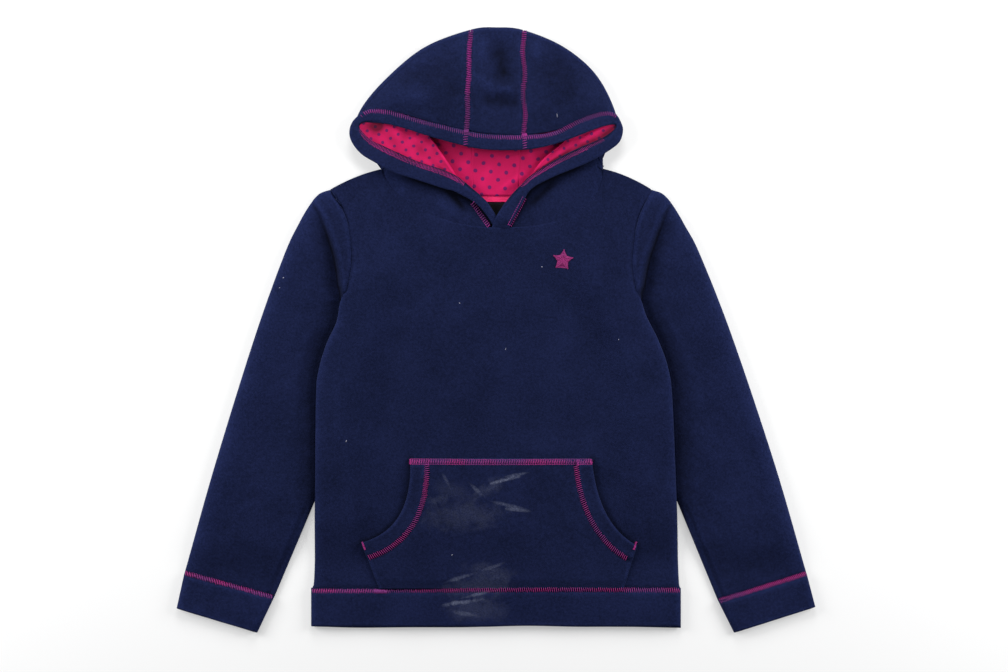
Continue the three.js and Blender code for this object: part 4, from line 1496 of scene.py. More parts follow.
@dataclass
class Star:
    """A five-pointed star of satin stitch.

    Attributes:
        centre: its middle on the chest.
        reach: radius of its points.
        waist: radius of the notches between them.
        lean: turn from upright, in radians.
        threads: threads across each half of an arm.
    """

    centre: Pair = (70.0, 73.3)
    reach: float = 10.6
    waist: float = 5.9
    lean: float = -0.12
    threads: int = 13

    def corners(self) -> Array:
        """Returns the ten corners in turn, points and notches."""
        k = np.arange(10)
        angle = np.pi / 2 + self.lean + np.pi * k / 5
        radius = np.where(k % 2 == 0, self.reach, self.waist)
        return stacked(radius * np.cos(angle), radius * np.sin(angle)) + self.centre

    def base(self) -> Grid:
        """Returns the low padding under the stitches, a dome over the star's outline."""
        closed = np.vstack([self.corners(), self.corners()[:1]])
        outline = along(closed, np.linspace(0, 1, 120, endpoint=False))
        share = np.linspace(0.02, 1, 14)[:, None, None]
        plan = mix(np.array(self.centre), outline[None], share)
        dome = 0.15 + 0.8 * np.sqrt(1 - np.clip(share[..., 0], 0, 0.999) ** 2) + 0 * plan[..., 0]
        return Grid(raised(plan, DRAPE.front(plan[..., 0], plan[..., 1]) + dome), loop=True, capped=True)

    def stitches(self) -> tuple[Array, Array]:
        """Returns the satin threads' starts on each arm's spine and their ends on its edge."""
        corners = self.corners()
        share = (np.arange(self.threads) + 0.5)[None, :, None] / self.threads
        arm = np.repeat(np.arange(0, 10, 2), 2)
        notch = stacked(np.arange(-1, 9, 2), np.arange(1, 11, 2)).ravel()
        tip, waist = corners[arm][:, None], corners[notch][:, None]
        spine = mix(np.array(self.centre), tip, 0.12 + 0.88 * share)
        edge = mix(waist, tip, share)
        return spine.reshape(-1, 2), edge.reshape(-1, 2)


# ---- hood
# Where the outline's fold lies on the way over the hood, how long it is, and what comes after it.
FOLD_START, FOLD_END, FOLD_SPAN, FLAT_SPAN = 0.4, 0.6, 0.2, 0.4


@dataclass
class HoodHem:
    """The turned hem round the mouth of the hood.

    Attributes:
        rows: places along it from the left front, round the crown, to the right front, which crosses
            over the left: x and y of its inner edge, x and y of its outer edge, and its upper height.
        thickness: thickness of the turned cloth.
        squareness: exponent of its section.
        left_run: first and last row of the stretch along the left front.
        right_run: the same along the right front.
        cut: flat size of the strip.
    """

    rows: tuple[Row, ...] = (
        (11, 99, 3, 95.5, 3.0), (0.5, 119, -6, 114.5, 9.6), (-9, 133.5, -16, 127.5, 10.8),
        (-17, 141.5, -25, 135, 11.8), (-24, 147.5, -34, 140, 12.8), (-33, 155, -44, 145, 13.6),
        (-43, 162, -54, 147.5, 13.4), (-60, 169, -71, 153, 14.2), (-78, 175, -90, 159, 14.8),
        (-95, 182.5, -107.5, 164.7, 15.0), (-111, 189.5, -125, 174, 14.8), (-126, 197.5, -141, 184, 14.2),
        (-136, 206, -151, 197, 13.4), (-141, 212.5, -153, 209, 12.8), (-138, 216, -148, 220, 13.0),
        (-127, 216.2, -134, 230, 13.8), (-112, 214.5, -117, 230, 15.0), (-95, 210, -100, 226, 16.2),
        (-75, 203.5, -80, 220, 17.6), (-55, 197.5, -59, 214.5, 19.0), (-36, 192.3, -38, 209.3, 20.0),
        (-18, 188.5, -19, 205, 20.6), (0, 187, 0, 203.6, 20.8), (18, 187, 18, 203, 20.8),
        (36, 188, 36, 203.3, 20.2), (54, 191.5, 52, 204.7, 19.0), (70, 196.5, 66, 209, 17.6),
        (86, 202.5, 81, 217.5, 16.0), (101, 208.5, 95, 223.5, 14.8), (114, 213, 110, 228, 13.8),
        (122.5, 214.5, 124, 226.5, 13.0), (124.5, 212.5, 131.5, 215, 12.8), (121.5, 209, 132.5, 206, 13.2),
        (114, 202.8, 128, 195, 14.0), (103, 197.3, 114, 184.6, 14.6), (86, 190, 95, 174.3, 14.9),
        (71, 182.7, 80, 168, 14.8), (57, 174.8, 65, 162, 14.6), (45, 167.2, 53, 156.5, 14.4),
        (34.5, 160, 42, 150.8, 14.2), (26.5, 152, 34.5, 144.5, 14.0), (18.5, 143.8, 29.5, 136, 13.8),
        (11, 135, 25.5, 128.3, 13.4), (5, 126.5, 21, 120.5, 12.8), (-1, 116, 16.5, 112, 11.6),
        (-7, 100, 9, 96, 3.0),
    )
    thickness: float = 4.4
    squareness: float = 0.72
    left_run: Pair = (0, 14)
    right_run: Pair = (31, 45)
    cut: Cut = Cut(0.018, 0.62, 0.0111)

    def edges(self, t: Array) -> tuple[Array, Array]:
        """Returns the upper inner and outer edge at shares t of the rows."""
        rows = through(np.array(self.rows), t)
        return rows[..., [0, 1, 4]], rows[..., [2, 3, 4]]

    def path(self, first: float, last: float, share: float) -> Array:
        """Returns places along the hem between two of its rows, a share of the way across it."""
        inner, outer = self.edges(np.linspace(first, last, 60) / (len(self.rows) - 1))
        return mix(inner, outer, share)[:, :2]

    def grid(self) -> Grid:
        """The hem's surface.

        Its section is a squared ellipse, cos and sin raised to a power, from edge to edge and as high as
        the turned cloth. It bows a little along its length, and its ends thin out. Along the fronts it
        sinks into a crevice beside the lining, with painted shade in it; it is painted a little lighter all
        over, and more over the crown.

        Returns:
            Rings of points along the hem.
        """
        t = np.linspace(0, 1, 330)
        inner, outer = self.edges(t)
        a = np.linspace(0, 2 * np.pi, 28, endpoint=False)
        across, up = (np.sign(side) * np.abs(side) ** self.squareness for side in (np.cos(a), np.sin(a)))
        middle, half = (inner + outer) / 2, (outer - inner) / 2
        thin = self.thickness * (0.35 + 0.65 * ease(0, 0.02, t) * ease(1, 0.98, t))
        wave = 0.35 * np.sin(t * 61.0) + 0.25 * np.sin(t * 113.0 + 1.0)
        points = middle[:, None] + half[:, None] * across[None, :, None]
        low = self.crown_share(t)
        points[..., 2] += (thin[:, None] / 2) * (up[None] - 1) + wave[:, None] * 0.5
        crevice = (1 - low)[:, None] * ease(-0.45, -0.85, across)[None] * ease(0.02, 0.1, t)[:, None]
        crevice = crevice * ease(0.98, 0.9, t)[:, None]
        points[..., 2] -= 0.5 * low[:, None] * ease(0.2, 1.0, across)[None] + 1.3 * crevice
        # Painted light over the whole hem, and more over the crown; painted shade in the crevice.
        painted_light = 0.25 + 0.25 * low[:, None] - 1.4 * crevice
        return Grid(points, loop=True, capped=True, facing=Facing.ROUND, painted_light=painted_light)

    def crown_share(self, t: Array) -> Array:
        """Returns 1 where the hem runs over the crown and 0 along the fronts."""
        return ease(0.31, 0.36, t) * ease(0.7, 0.65, t)


@dataclass
class HoodShell:
    """The outer cloth of the hood: three panels over the crown, and the fronts turned back.

    Attributes:
        ribs: places from the left side of the neck over the crown to the right side: x, y, z where a
            rib starts at the mouth, x, y and radius where it folds at the outline, and x where it
            ends on the back neckline.
        seams: the ribs that the crown seams run along.
        bulge: how far the crown swells.
        left_front: rows across the left front, from under the hem to its edge: x, y, z, x, y. An edge
            with y 0 lies on the neckline.
        right_front: the same on the right.
        side_cut: flat size of a side panel.
        centre_cut: flat size of the centre panel.
        seam_dips: depth and width of the sharp and of the broad dip along a crown seam.
        rib_step: about how far apart the ribs are.
        fold_light: strength of the painted highlight along the outline's fold, and its width as a share.
        mouth_light: strength of the painted highlight at the mouth.
        hem_shadows: strength and width of the sharp and of the broad painted shadow beside the hem.
        side_light: strength of the painted highlight at the outer ends of the fronts.
        dent_painted_shade: painted light for each millimetre of a dent's height, dark in hollows and light
            on folds.
        tuck_painted_shade: the same for a tuck.
        tuck_rise: the share of a tuck's height that shows in the shape.
        dents: hollows and folds in the crown.
        tucks: folds in the fronts, where the hem pulls them.
    """

    ribs: tuple[Row, ...] = (
        (-110, 175, 6.0, -119.4, 168, 3.4, -116), (-122, 197, 6.2, -134, 189, 3.4, -112),
        (-136, 210, 7.0, -147, 206, 3.4, -107), (-136, 226, 11.8, -143, 229, 4.2, -100),
        (-104, 226.5, 15.0, -118, 260.5, 4.8, -82), (-71, 217.5, 17.6, -76, 295.5, 5.0, -54),
        (-30.5, 207.3, 19.4, -26.8, 314.5, 5.0, -24), (0, 203.4, 19.8, 1, 317, 5.0, 0),
        (29.8, 202.8, 19.6, 28.6, 314.2, 5.0, 24), (66, 209, 17.2, 70, 297, 5.0, 52),
        (97, 224, 14.6, 104, 268.5, 4.8, 78), (119, 226.5, 11.8, 124.5, 230, 4.2, 95),
        (116, 210, 7.0, 126, 204, 3.4, 101), (106, 196, 6.2, 114.5, 187.5, 3.4, 105),
        (104, 187, 6.0, 112.2, 181, 3.4, 107), (103, 173, 6.0, 112.4, 167.4, 3.4, 109),
    )
    seams: tuple[int, int] = (6, 8)
    bulge: float = 6.0
    left_front: tuple[Row, ...] = (
        (-2, 112, 5.2, -13, 0), (-13, 130, 4.4, -34, 0), (-36, 150, 4.2, -60, 0),
        (-62, 160, 5.0, -84, 0), (-88, 170, 6.0, -104, 0), (-100, 176, 6.4, -112.5, 0),
        (-105, 179, 6.7, -116.6, 0), (-110, 182, 7.0, -120.2, 168.0), (-134, 198, 7.4, -139, 193),
    )
    right_front: tuple[Row, ...] = (
        (3, 110, 6.0, 13, 0), (15, 130, 5.4, 34, 0), (40, 158, 4.8, 58, 0),
        (62, 169, 5.2, 80, 0), (84, 180, 6.2, 98, 0), (95, 185, 6.6, 106.5, 0),
        (99, 187.5, 6.8, 110.4, 0), (103, 190, 7.0, 111.8, 167.6), (106, 193, 7.2, 111.8, 181),
        (119, 204, 7.4, 121, 196),
    )
    side_cut: Cut = Cut(0.2, 0.24, 0.028)
    centre_cut: Cut = Cut(0.06, 0.28, 0.0158)
    seam_dips: tuple[Pair, Pair] = ((1.2, 2.6), (1.0, 11.0))
    rib_step: float = 30
    fold_light: Pair = (0.5, 0.08)
    mouth_light: float = 0.35
    hem_shadows: tuple[Pair, Pair] = ((1.5, 3.0), (0.5, 10.0))
    side_light: float = 0.45
    dent_painted_shade: float = 0.4
    tuck_painted_shade: float = 0.7
    tuck_rise: float = 0.15
    dents: tuple[Crease, ...] = folds(
        (3, 300, 9, 258, 22, -2.9), (-14, 239, 22, 236, 15, -2.1), (-26, 268, 0, 246, 15, 1.5),
        (2, 251, 18, 248, 9, 1.2), (44, 304, 42, 282, 11, 1.5), (-14, 304, -16, 280, 14, 0.9),
        (56, 282, 84, 240, 40, -1.4), (-58, 288, -44, 236, 34, -1.3), (-120, 246, -70, 240, 28, 1.4),
        (-104, 264, -62, 262, 24, -1.0),
    )
    tucks: tuple[Crease, ...] = folds(
        (-50, 146, -33, 126, 8, -2.2), (-62, 138, -44, 122, 10, 0.8), (62, 155, 36, 131, 8, -1.8),
        (-104, 160, -96, 146, 7, 0.6),
    )

    def ribs_apart(self, u: Array, seam: int) -> Array:
        """Returns about how far shares u over the ribs lie from a seam."""
        return np.abs(u[:, None] * (len(self.ribs) - 1) - seam) * self.rib_step

    def surface(self, u: Array, v: Array) -> Array:
        """The outer face of the shell.

        For v up to 0.4 it runs from the mouth to the fold with a swell of sin(pi t); to 0.6 it is a half
        circle round the fold; past that it lies flat, out to the back neckline.

        Args:
            u: shares over the ribs.
            v: shares from the mouth to the neck.

        Returns:
            Places, one row for each u.
        """
        rib = through(np.array(self.ribs), u)[:, None]
        start, turn, r = rib[..., :3], rib[..., 3:5], rib[..., 5]
        back = stacked(rib[..., 6], neckline_y(rib[..., 6], BACK_NECK_DROP) + 1.0)
        out = unit(turn - start[..., :2])
        centre = turn - out * r[..., None]
        v = v[None]
        t = np.clip(v / FOLD_START, 0, 1)
        angle = np.pi * np.clip((v - FOLD_START) / FOLD_SPAN, 0, 1)
        rest = np.clip((v - FOLD_END) / FLAT_SPAN, 0, 1)
        upper = mix(start[..., :2], centre, t[..., None])
        nose = centre + out * (r * np.sin(angle))[..., None]
        plan = np.where((v < FOLD_END)[..., None], nose, mix(centre, back, rest[..., None]))
        plan = np.where((v <= FOLD_START)[..., None], upper, plan)
        size = np.linalg.norm(start[..., :2] - centre, axis=-1)
        reach = np.clip(size / 60, 0, 1)
        over = mix(start[..., 2], 2 * r, t) + self.bulge * reach * np.sin(np.pi * t)
        height = np.where(v <= FOLD_START, over, r * (1 + np.cos(angle)))
        x, y = plan[..., 0], plan[..., 1]
        on_top = ease(0.42, 0.36, v) * reach
        height = height + on_top * creased(self.dents, x, y) * ease(0, 0.12, t)
        for seam in self.seams:
            sharp, broad = (bell(self.ribs_apart(u, seam), *dip) for dip in self.seam_dips)
            height = height - on_top * (sharp + broad)
        height = height + on_top * (0.45 * rumple(x, y, 26.0, 8.0) + 0.2 * rumple(x, y, 12.0, 9.0))
        height = height - 0.6 * on_top * bell(t * size, 1.0, 4.0)
        return stacked(x, y, height)

    def panel(self, first: float, last: float, count: int) -> Grid:
        """The shell between two ribs.

        Args:
            first: the first rib.
            last: the last rib.
            count: how many points across.

        Returns:
            The face, painted lighter along the outline's fold and at the mouth, and darker in the dents.
        """
        u = np.linspace(first, last, count) / (len(self.ribs) - 1)
        v = joined(((0, FOLD_START, 60), (FOLD_START, FOLD_END, 13), (FOLD_END, 1, 34)))
        points = self.surface(u, v)
        # Painted shade in the dents, painted highlights along the fold and at the mouth.
        painted_light = self.dent_painted_shade * creased(self.dents, points[..., 0], points[..., 1]) * ease(0.42, 0.36, v)
        painted_light = painted_light + bell(v - 0.41, *self.fold_light) + self.mouth_light * ease(0.04, 0, v)
        return Grid(points, facing=Facing.ROUND, painted_light=painted_light)

    def front(self, table: tuple[Row, ...], rim: Array) -> Grid:
        """A turned-back front, from under the hem down to the neckline.

        Its height eases from the hem's underside to the body's face, with a swell between them. A painted
        shadow lies in the hollow beside the hem, by Gaussians of the distance from it, with painted shade
        and highlight in the tucks and a painted highlight at the outer ends.

        Args:
            table: left_front or right_front.
            rim: places along the hem's outer edge.

        Returns:
            The face.
        """
        rows = np.array(table, float)
        fixed = rows[:, 4] == 0
        rows[fixed, 4] = neckline_y(rows[fixed, 3], FRONT_NECK_DROP) - 1.5
        rows[fixed, 3] = rows[fixed, 3] * 1.01
        line = through(rows, np.linspace(0, 1, 120))[:, None]
        sunk = mix(0.5, 1.2, ease(85, 40, np.abs(line[..., 3])))
        edge_z = np.where(line[..., 4] < 170.5, DRAPE.front(line[..., 3], line[..., 4]) - sunk, 6.6)
        v = spread(54, 0.3)[None]
        plan = mix(line[..., :2], line[..., 3:5], v[..., None])
        height = mix(line[..., 2], edge_z, ease(0.2, 0.95, v))
        swell = 1.1 * np.sin(np.pi * v) * (1 + 0.6 * np.sin(plan[..., 0] / 11.0))
        near = distance(plan[..., 0], plan[..., 1], rim)
        tucks = creased(self.tucks, plan[..., 0], plan[..., 1])
        height = height + self.tuck_rise * tucks
        reach = ease(108, 80, np.abs(plan[..., 0]))
        # Painted shadow beside the hem, painted shade in the tucks, painted highlight at the outer ends.
        sharp, broad = (bell(near, *shadow) for shadow in self.hem_shadows)
        painted_light = -(sharp + broad) * reach + self.tuck_painted_shade * tucks + self.side_light * (1 - reach)
        return Grid(raised(plan, height + swell), painted_light=painted_light)


@dataclass(frozen=True)
class Wing:
    """A wing of lining over a front.

    Attributes:
        rows: rows across it, from its fold to under the hem: x, y, z, x, y, z.
        turn: how far its print is turned, in degrees.
        dark: strength of its painted shade all over, in the corner of the mouth and along the hem.
    """

    rows: tuple[Row, ...]
    turn: float
    dark: Colour


@dataclass
class HoodLining:
    """The dotted lining: the inside of the back of the hood, and a wing over each front.

    Attributes:
        shell: the shell that it follows.
        depth: how far it lies inside the shell's face.
        left_wing: the wing over the left front.
        right_wing: the wing over the right front.
        fold: radius of the wings' folds.
        groove: depth and width of the groove along its seams.
        side_cut: flat size of a side panel.
        centre_cut: flat size of the centre panel.
        creases: folds in the part that lies flat.
        wing_print: how much closer the dots lie on the wings.
    """

    shell: HoodShell
    depth: float = 2.9
    left_wing: Wing = Wing(turn=14, dark=(0.5, 2.2, 0.3), rows=(
        (-22, 141, 5.0, -26, 138, 5.0), (-34, 153, 6.6, -40, 149, 6.6), (-41, 161, 9.0, -52, 154, 9.0),
        (-47, 170.5, 10.2, -78, 164, 11.0), (-54, 181, 10.4, -102, 173, 12.0),
        (-61, 191, 10.2, -124, 185, 12.4), (-68, 201.5, 10.0, -144, 200, 12.0),
        (-80, 214, 9.6, -146, 214, 11.0), (-94, 222, 9.0, -143, 223, 10.4),
    ))
    right_wing: Wing = Wing(turn=-20, dark=(0.35, 0.3, 1.7), rows=(
        (26, 146, 3.4, 29, 142, 3.0), (33, 157, 5.4, 37, 153, 4.6), (38.5, 164.5, 9.0, 46, 159, 8.6),
        (42, 170, 10.4, 66, 166, 11.0), (48, 177.5, 10.4, 88, 177, 12.0),
        (55.5, 184.5, 10.2, 107, 186, 12.4),
        (64, 191.5, 10.0, 124, 199, 12.0), (78, 204, 9.6, 129, 211, 11.0), (92, 215, 9.0, 128, 221, 10.4),
    ))
    fold: float = 2.4
    groove: Pair = (0.22, 1.8)
    side_cut: Cut = Cut(0.19, 0.23, 0.025)
    centre_cut: Cut = Cut(0.06, 0.27, 0.0149)
    wing_print: float = 1.27
    creases: tuple[Crease, ...] = folds(
        (4, 150, 30, 164, 7, 0.9), (18, 146, 33, 158, 5, -0.7), (-34, 168, -24, 190, 16, 1.2),
        (-16, 150, -4, 176, 14, 0.8), (40, 168, 34, 190, 14, 0.9),
    )

    def panel(self, first: float, last: float, count: int) -> Grid:
        """The lining between two ribs of the shell.

        It lies at a depth inside the shell along the shell's normal, from the mouth to the neck.

        Args:
            first: the first rib.
            last: the last rib.
            count: how many points across.

        Returns:
            The face that shows inside the hood.
        """
        u = np.linspace(first, last, count) / (len(self.shell.ribs) - 1)
        v = joined(((0.03, FOLD_START, 26), (FOLD_START, FOLD_END, 11), (FOLD_END, 1, 70)))
        outer = self.shell.surface(u, v)
        normal = unit(np.cross(np.gradient(outer, axis=0), np.gradient(outer, axis=1)), 1e-9)
        inward = np.where(normal[:, -1:, 2:] < 0, -normal, normal)
        flat = (v >= 0.59)[None, :, None]
        inward = np.where(flat, np.array([0.0, 0.0, 1.0]), inward)
        points = outer + self.depth * inward
        wrinkles = creased(self.creases, points[..., 0], points[..., 1])
        seam = np.minimum.reduce([self.shell.ribs_apart(u, seam) for seam in self.shell.seams])
        groove = bell(seam, *self.groove) * (points[..., 0] > 0)
        points[..., 2] += np.where(flat[..., 0], LINING_PLY + 0.3 + wrinkles - groove, 0.0)
        points[..., 1] -= 2.4 * ease(0.93, 1.0, v)[None]
        # Painted shade over the lining, darker up under the crown's rim.
        shade = -0.12 - 0.7 * ease(165, 200, points[..., 1])
        return Grid(points, cloth=self.cloth_of(points), painted_light=shade)

    def cloth_of(self, points: Array) -> Array:
        """Returns places on the flat cloth: x, and the run back from the neck."""
        steps = np.linalg.norm(np.diff(points, axis=1), axis=-1)
        run = np.pad(np.cumsum(steps, axis=1), ((0, 0), (1, 0)))
        return stacked(points[..., 0], points[:, -1:, 1] + run[:, -1:] - run)

    def wing(self, wing: Wing, rim: Array) -> Grid:
        """The lining over a front, which turns under along its fold.

        From under the hem it comes in to the fold, goes round a half circle, and back out underneath.

        Args:
            wing: the wing.
            rim: places along the hem's inner edge.

        Returns:
            The face.
        """
        row = through(np.array(wing.rows, float), np.linspace(0, 1, 110))[:, None]
        fold, out = row[..., :3], row[..., 3:]
        away = unit(out[..., :2] - fold[..., :2])
        r = self.fold
        share = np.linspace(0, 1, 50)[None]
        top = mix(out, fold + raised(away * r, 0 * away[..., 0]), share[..., None])
        top[..., 2] += 1.0 * np.sin(np.pi * share) - bell(share - 0.72, 0.8, 0.12)
        angle = np.linspace(0, np.pi, 12)[None, 1:]
        nose = raised(fold[..., :2] + away * (r * (1 - np.sin(angle)))[..., None],
                      fold[..., 2] - r + r * np.cos(angle))
        room = np.linalg.norm(out[..., :2] - fold[..., :2], axis=-1, keepdims=True) - r
        back = np.linspace(0, 1, 8)[None, 1:, None] * np.clip(room, 0.5, 14)
        under = raised(fold[..., :2] + away * (r + back), fold[..., 2] - 2 * r + 0 * back[..., 0])
        points = np.concatenate([top, nose, under], axis=1)
        a = math.radians(wing.turn)
        x, y = points[..., 0], points[..., 1]
        cloth = stacked(x * math.cos(a) - y * math.sin(a), x * math.sin(a) + y * math.cos(a))
        # Painted shade: all over, in the mouth's corner, along the hem and beside the fold; the rumple is a
        # random mottle of the cloth.
        corner = np.exp(-(((np.abs(x) - 124) / 10) ** 2) - ((y - 213) / 6) ** 2)
        edge = bell(distance(x, y, rim), 1.0, mix(1.5, 5.0, ease(40, 110, x)))
        painted_light = -wing.dark[0] - wing.dark[1] * corner - wing.dark[2] * edge
        painted_light = painted_light - 0.4 * bell(np.hypot(x - fold[..., 0], y - fold[..., 1]), 1.0, 7)
        return Grid(points, cloth=cloth * self.wing_print, painted_light=painted_light + 0.35 * rumple(x, y, 17.0, 4.0))


@dataclass
class NeckTrim:
    """The tape over the back neck seam and the bare label under it.

    Attributes:
        tape_half: half the tape's length.
        tape_width: the tape's width.
        label_x: middle of the label.
        label_top: height y of the label's top edge.
        label_width: width of the label.
        label_height: height of the label.
    """

    tape_half: float = 62.0
    tape_width: float = 7.0
    label_x: float = 1.5
    label_top: float = 133.6
    label_width: float = 40.0
    label_height: float = 22.0

    def strip(self, x: Array, top: float, height: float, lift: float) -> Grid:
        """A strip that follows the back neckline.

        Args:
            x: places across.
            top: how far its upper edge lies below the neckline.
            height: its width along Y.
            lift: how far it lies above the back panel.

        Returns:
            The strip's face, rounded over at its edges.
        """
        v = spread(12, 0.6)[:, None]
        x = x[None] + 0 * v
        y = neckline_y(x, BACK_NECK_DROP) - top - height * (1 - v)
        edge = roll_off(np.minimum(v, 1 - v) * height, 0.8, 0.4)
        return Grid(stacked(x, y, DRAPE.lift(x, y) + PLY + lift - edge))

    def tape(self) -> Grid:
        """Returns the tape."""
        return self.strip(np.linspace(-self.tape_half, self.tape_half, 90), 0.4, self.tape_width, 1.3)

    def label(self) -> Grid:
        """Returns the label."""
        half = self.label_width / 2
        x = self.label_x + np.linspace(-half, half, 40)
        top = float(neckline_y(np.array(0.0), BACK_NECK_DROP)) - self.label_top
        return self.strip(x, top, self.label_height, 0.9)


# ---- stitching
@dataclass(frozen=True)
class Yarn:
    """A stitch's thread: its radius, how far it arches, and how many rings and sides it is drawn with."""

    radius: float = 0.5
    arch: float = 0.45
    rings: int = 6
    sides: int = 6

    def stitches(self, starts: Array, ends: Array) -> Grid:
        """Stitches between pairs of places.

        Each is a tube along the line from start to end, raised by 4 t (1 - t) of the arch and thinner
        towards its ends.

        Args:
            starts: one end of each stitch.
            ends: the other end.

        Returns:
            The tubes as one batch.
        """
        run = ends - starts
        ahead = unit(run)
        aside = unit(np.cross([0.0, 0.0, 1.0], ahead))
        up = np.cross(ahead, aside)
        t = np.linspace(0, 1, self.rings)
        centre = starts[:, None] + run[:, None] * t[None, :, None]
        centre = centre + up[:, None] * (self.arch * 4 * t * (1 - t))[None, :, None]
        thick = self.radius * (0.45 + 0.55 * np.sin(np.pi * t))
        a = np.linspace(0, 2 * np.pi, self.sides, endpoint=False)
        ring = np.cos(a)[:, None] * aside[:, None, None] + np.sin(a)[:, None] * up[:, None, None]
        return Grid(centre[:, :, None] + thick[None, :, None, None] * ring, loop=True, capped=True,
                    facing=Facing.ROUND)


def on_cloth(starts: Array, ends: Array) -> Array:
    """Returns which stitches have cloth under both ends."""
    heights = np.stack([starts[:, 2], ends[:, 2]])
    return (heights.min(0) > -1) & (heights.max(0) < 100)


@dataclass
class Ladder:
    """A row of coverstitch: rungs between two needle lines.

    Attributes:
        path: places along its middle, in plan.
        width: length of the rungs.
        pitch: distance between rungs.
        slant: how far a rung leans along the row.
        needle_lines: whether the two lines show.
        sink: how far the thread is pulled into the cloth.
        ragged: how unevenly the rungs lie.
        thread: radius of the thread.
    """

    path: Array | list[Pair]
    width: float = 4.6
    pitch: float = 2.1
    slant: float = 0.5
    needle_lines: bool = True
    sink: float = 0.1
    ragged: float = 0.25
    thread: float = 0.42

    def grids(self, relief: Relief, seed: int) -> list[Grid]:
        """Lays the row on the cloth.

        Args:
            relief: the cloth's heights.
            seed: start of the random numbers that make it uneven.

        Returns:
            The rungs and the needle lines.
        """
        rng = np.random.default_rng(seed)
        path = curve(self.path, 900)
        total = lengths(path)[-1]
        count = max(2, int(total / self.pitch))
        shares = (np.arange(count) + 0.5) / count

        def beside(share: Array, off: Array) -> Array:
            """Places beside the row.

            Args:
                share: shares of the row's length.
                off: how far to its left.

            Returns:
                Places on the cloth.
            """
            here = along(path, np.clip(share, 0, 1))
            near = 0.004
            step = unit(along(path, np.clip(share + near, 0, 1)) - along(path, np.clip(share - near, 0, 1)))
            plan = here + stacked(-step[..., 1], step[..., 0]) * np.asarray(off)[..., None]
            return raised(plan, relief.at(plan) - self.sink)

        half, tick = self.width / 2, 0.42 * self.pitch / total
        shake = rng.normal(0, self.ragged, (4, count))
        lean = self.slant / total
        starts = beside(shares - lean + 0.12 * shake[0] / total, half + shake[1])
        ends = beside(shares + lean + 0.12 * shake[2] / total, -half + shake[3])
        rows = [(Yarn(radius=self.thread), starts, ends)]
        if self.needle_lines:
            for edge in (-half, half):
                first, last = (beside(shares + step, np.full(count, edge)) for step in (-tick, tick))
                rows.append((Yarn(radius=0.8 * self.thread, arch=0.2, rings=5), first, last))
        return [yarn.stitches(*(ends[on_cloth(*pair)] for ends in pair)) for yarn, *pair in rows]


# ---- studio
@dataclass
class Studio:
    """A pale floor, soft light from the sides and the crown's end, and a camera straight above.

    Attributes:
        distance_m: height of the camera.
        centre: where it looks, in millimetres.
        field: width of its view at the floor.
        sensor: width of its sensor.
        floor_m: half the floor's size.
        surround: colour and strength of the even light from all round.
        lamps: name, place, size and power of each square lamp, in metres and watts.
    """

    distance_m: float = 2.0
    centre: Pair = (8.4, -6.3)
    field: float = 1058.4
    sensor: float = 36.0
    floor_m: float = 6.0
    surround: tuple[Colour, float] = ((0.96, 0.98, 1.0), 0.22)
    lamps: tuple[tuple[str, Row, float, float], ...] = (
        ("left", (-1.15, 0.3, 0.62), 0.6, 18.0), ("right", (1.15, 0.3, 0.62), 0.6, 18.0),
        ("top", (0.0, 1.7, 1.0), 0.9, 28.0),
    )

    def floor(self) -> None:
        """Lays the floor: a large plane of matt near-white."""
        half = self.floor_m
        mesh = bpy.data.meshes.new("floor")
        mesh.from_pydata([(-half, -half, 0), (half, -half, 0), (half, half, 0), (-half, half, 0)], [],
                         [(0, 1, 2, 3)])
        dressed("pale_floor").shader(Base_Color=(0.45, 0.45, 0.45), Roughness=1.0, Specular_IOR_Level=0.0,
                                     Emission_Color=(1.0, 1.0, 1.0), Emission_Strength=0.40)
        mesh.materials.append(bpy.data.materials["pale_floor"])
        placed("floor", mesh)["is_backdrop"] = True

    def lights(self) -> None:
        """Sets the even surround and the lamps, which point at the garment."""
        world = bpy.data.worlds.new("surround")
        world.use_nodes = True
        colour, strength = self.surround
        background = world.node_tree.nodes["Background"].inputs
        background["Color"].default_value = (*colour, 1.0)
        background["Strength"].default_value = strength
        bpy.context.scene.world = world
        for name, place, size, power in self.lamps:
            lamp = bpy.data.lights.new(name, "AREA")
            lamp.size = size
            lamp.energy = power
            thing = placed(name, lamp)
            thing.location = place
            thing.rotation_euler = (-thing.location).to_track_quat("-Z", "Y").to_euler()

    def camera(self) -> None:
        """Places the camera straight above the garment, the crown of the hood at the top."""
        lens = bpy.data.cameras.new("camera")
        lens.sensor_width = self.sensor
        lens.lens = self.sensor * self.distance_m / (self.field * MM)
        camera = placed("camera", lens)
        camera.location = (self.centre[0] * MM, self.centre[1] * MM, self.distance_m)
        bpy.context.scene.camera = camera
        bpy.context.scene.view_settings.view_transform = "Standard"


# ---- the garment
STAINS = tuple(Smudge((x, y), (reach, width), angle, strength) for x, y, reach, width, angle, strength in (
    (-34, -193, 46, 20, -4, 0.05), (-44, -168, 24, 13, 20, 0.03), (-8, -166, 18, 9, -28, 0.07),
    (10, -156.5, 20, 2.2, -14, 0.30), (23, -151, 15, 1.7, -10, 0.16), (12, -183, 24, 2.2, 14, 0.13),
    (22, -188, 14, 1.7, 7, 0.16), (-20, -167, 16, 2.4, 42, 0.12), (-52, -157, 12, 2.0, 62, 0.08),
    (-60, -177, 14, 5, -10, 0.05), (-6, -252, 30, 9, 10, 0.05), (-20, -268, 44, 15, -6, 0.06),
    (-24, -292, 36, 14, 4, 0.06), (-38, -285, 21, 2.8, -8, 0.30), (-18, -276, 26, 2.0, -14, 0.18),
    (-38, -259, 21, 2.2, -17, 0.13), (-2, -247, 14, 2.0, -20, 0.09), (-32, -297, 15, 2.2, 10, 0.12),
))
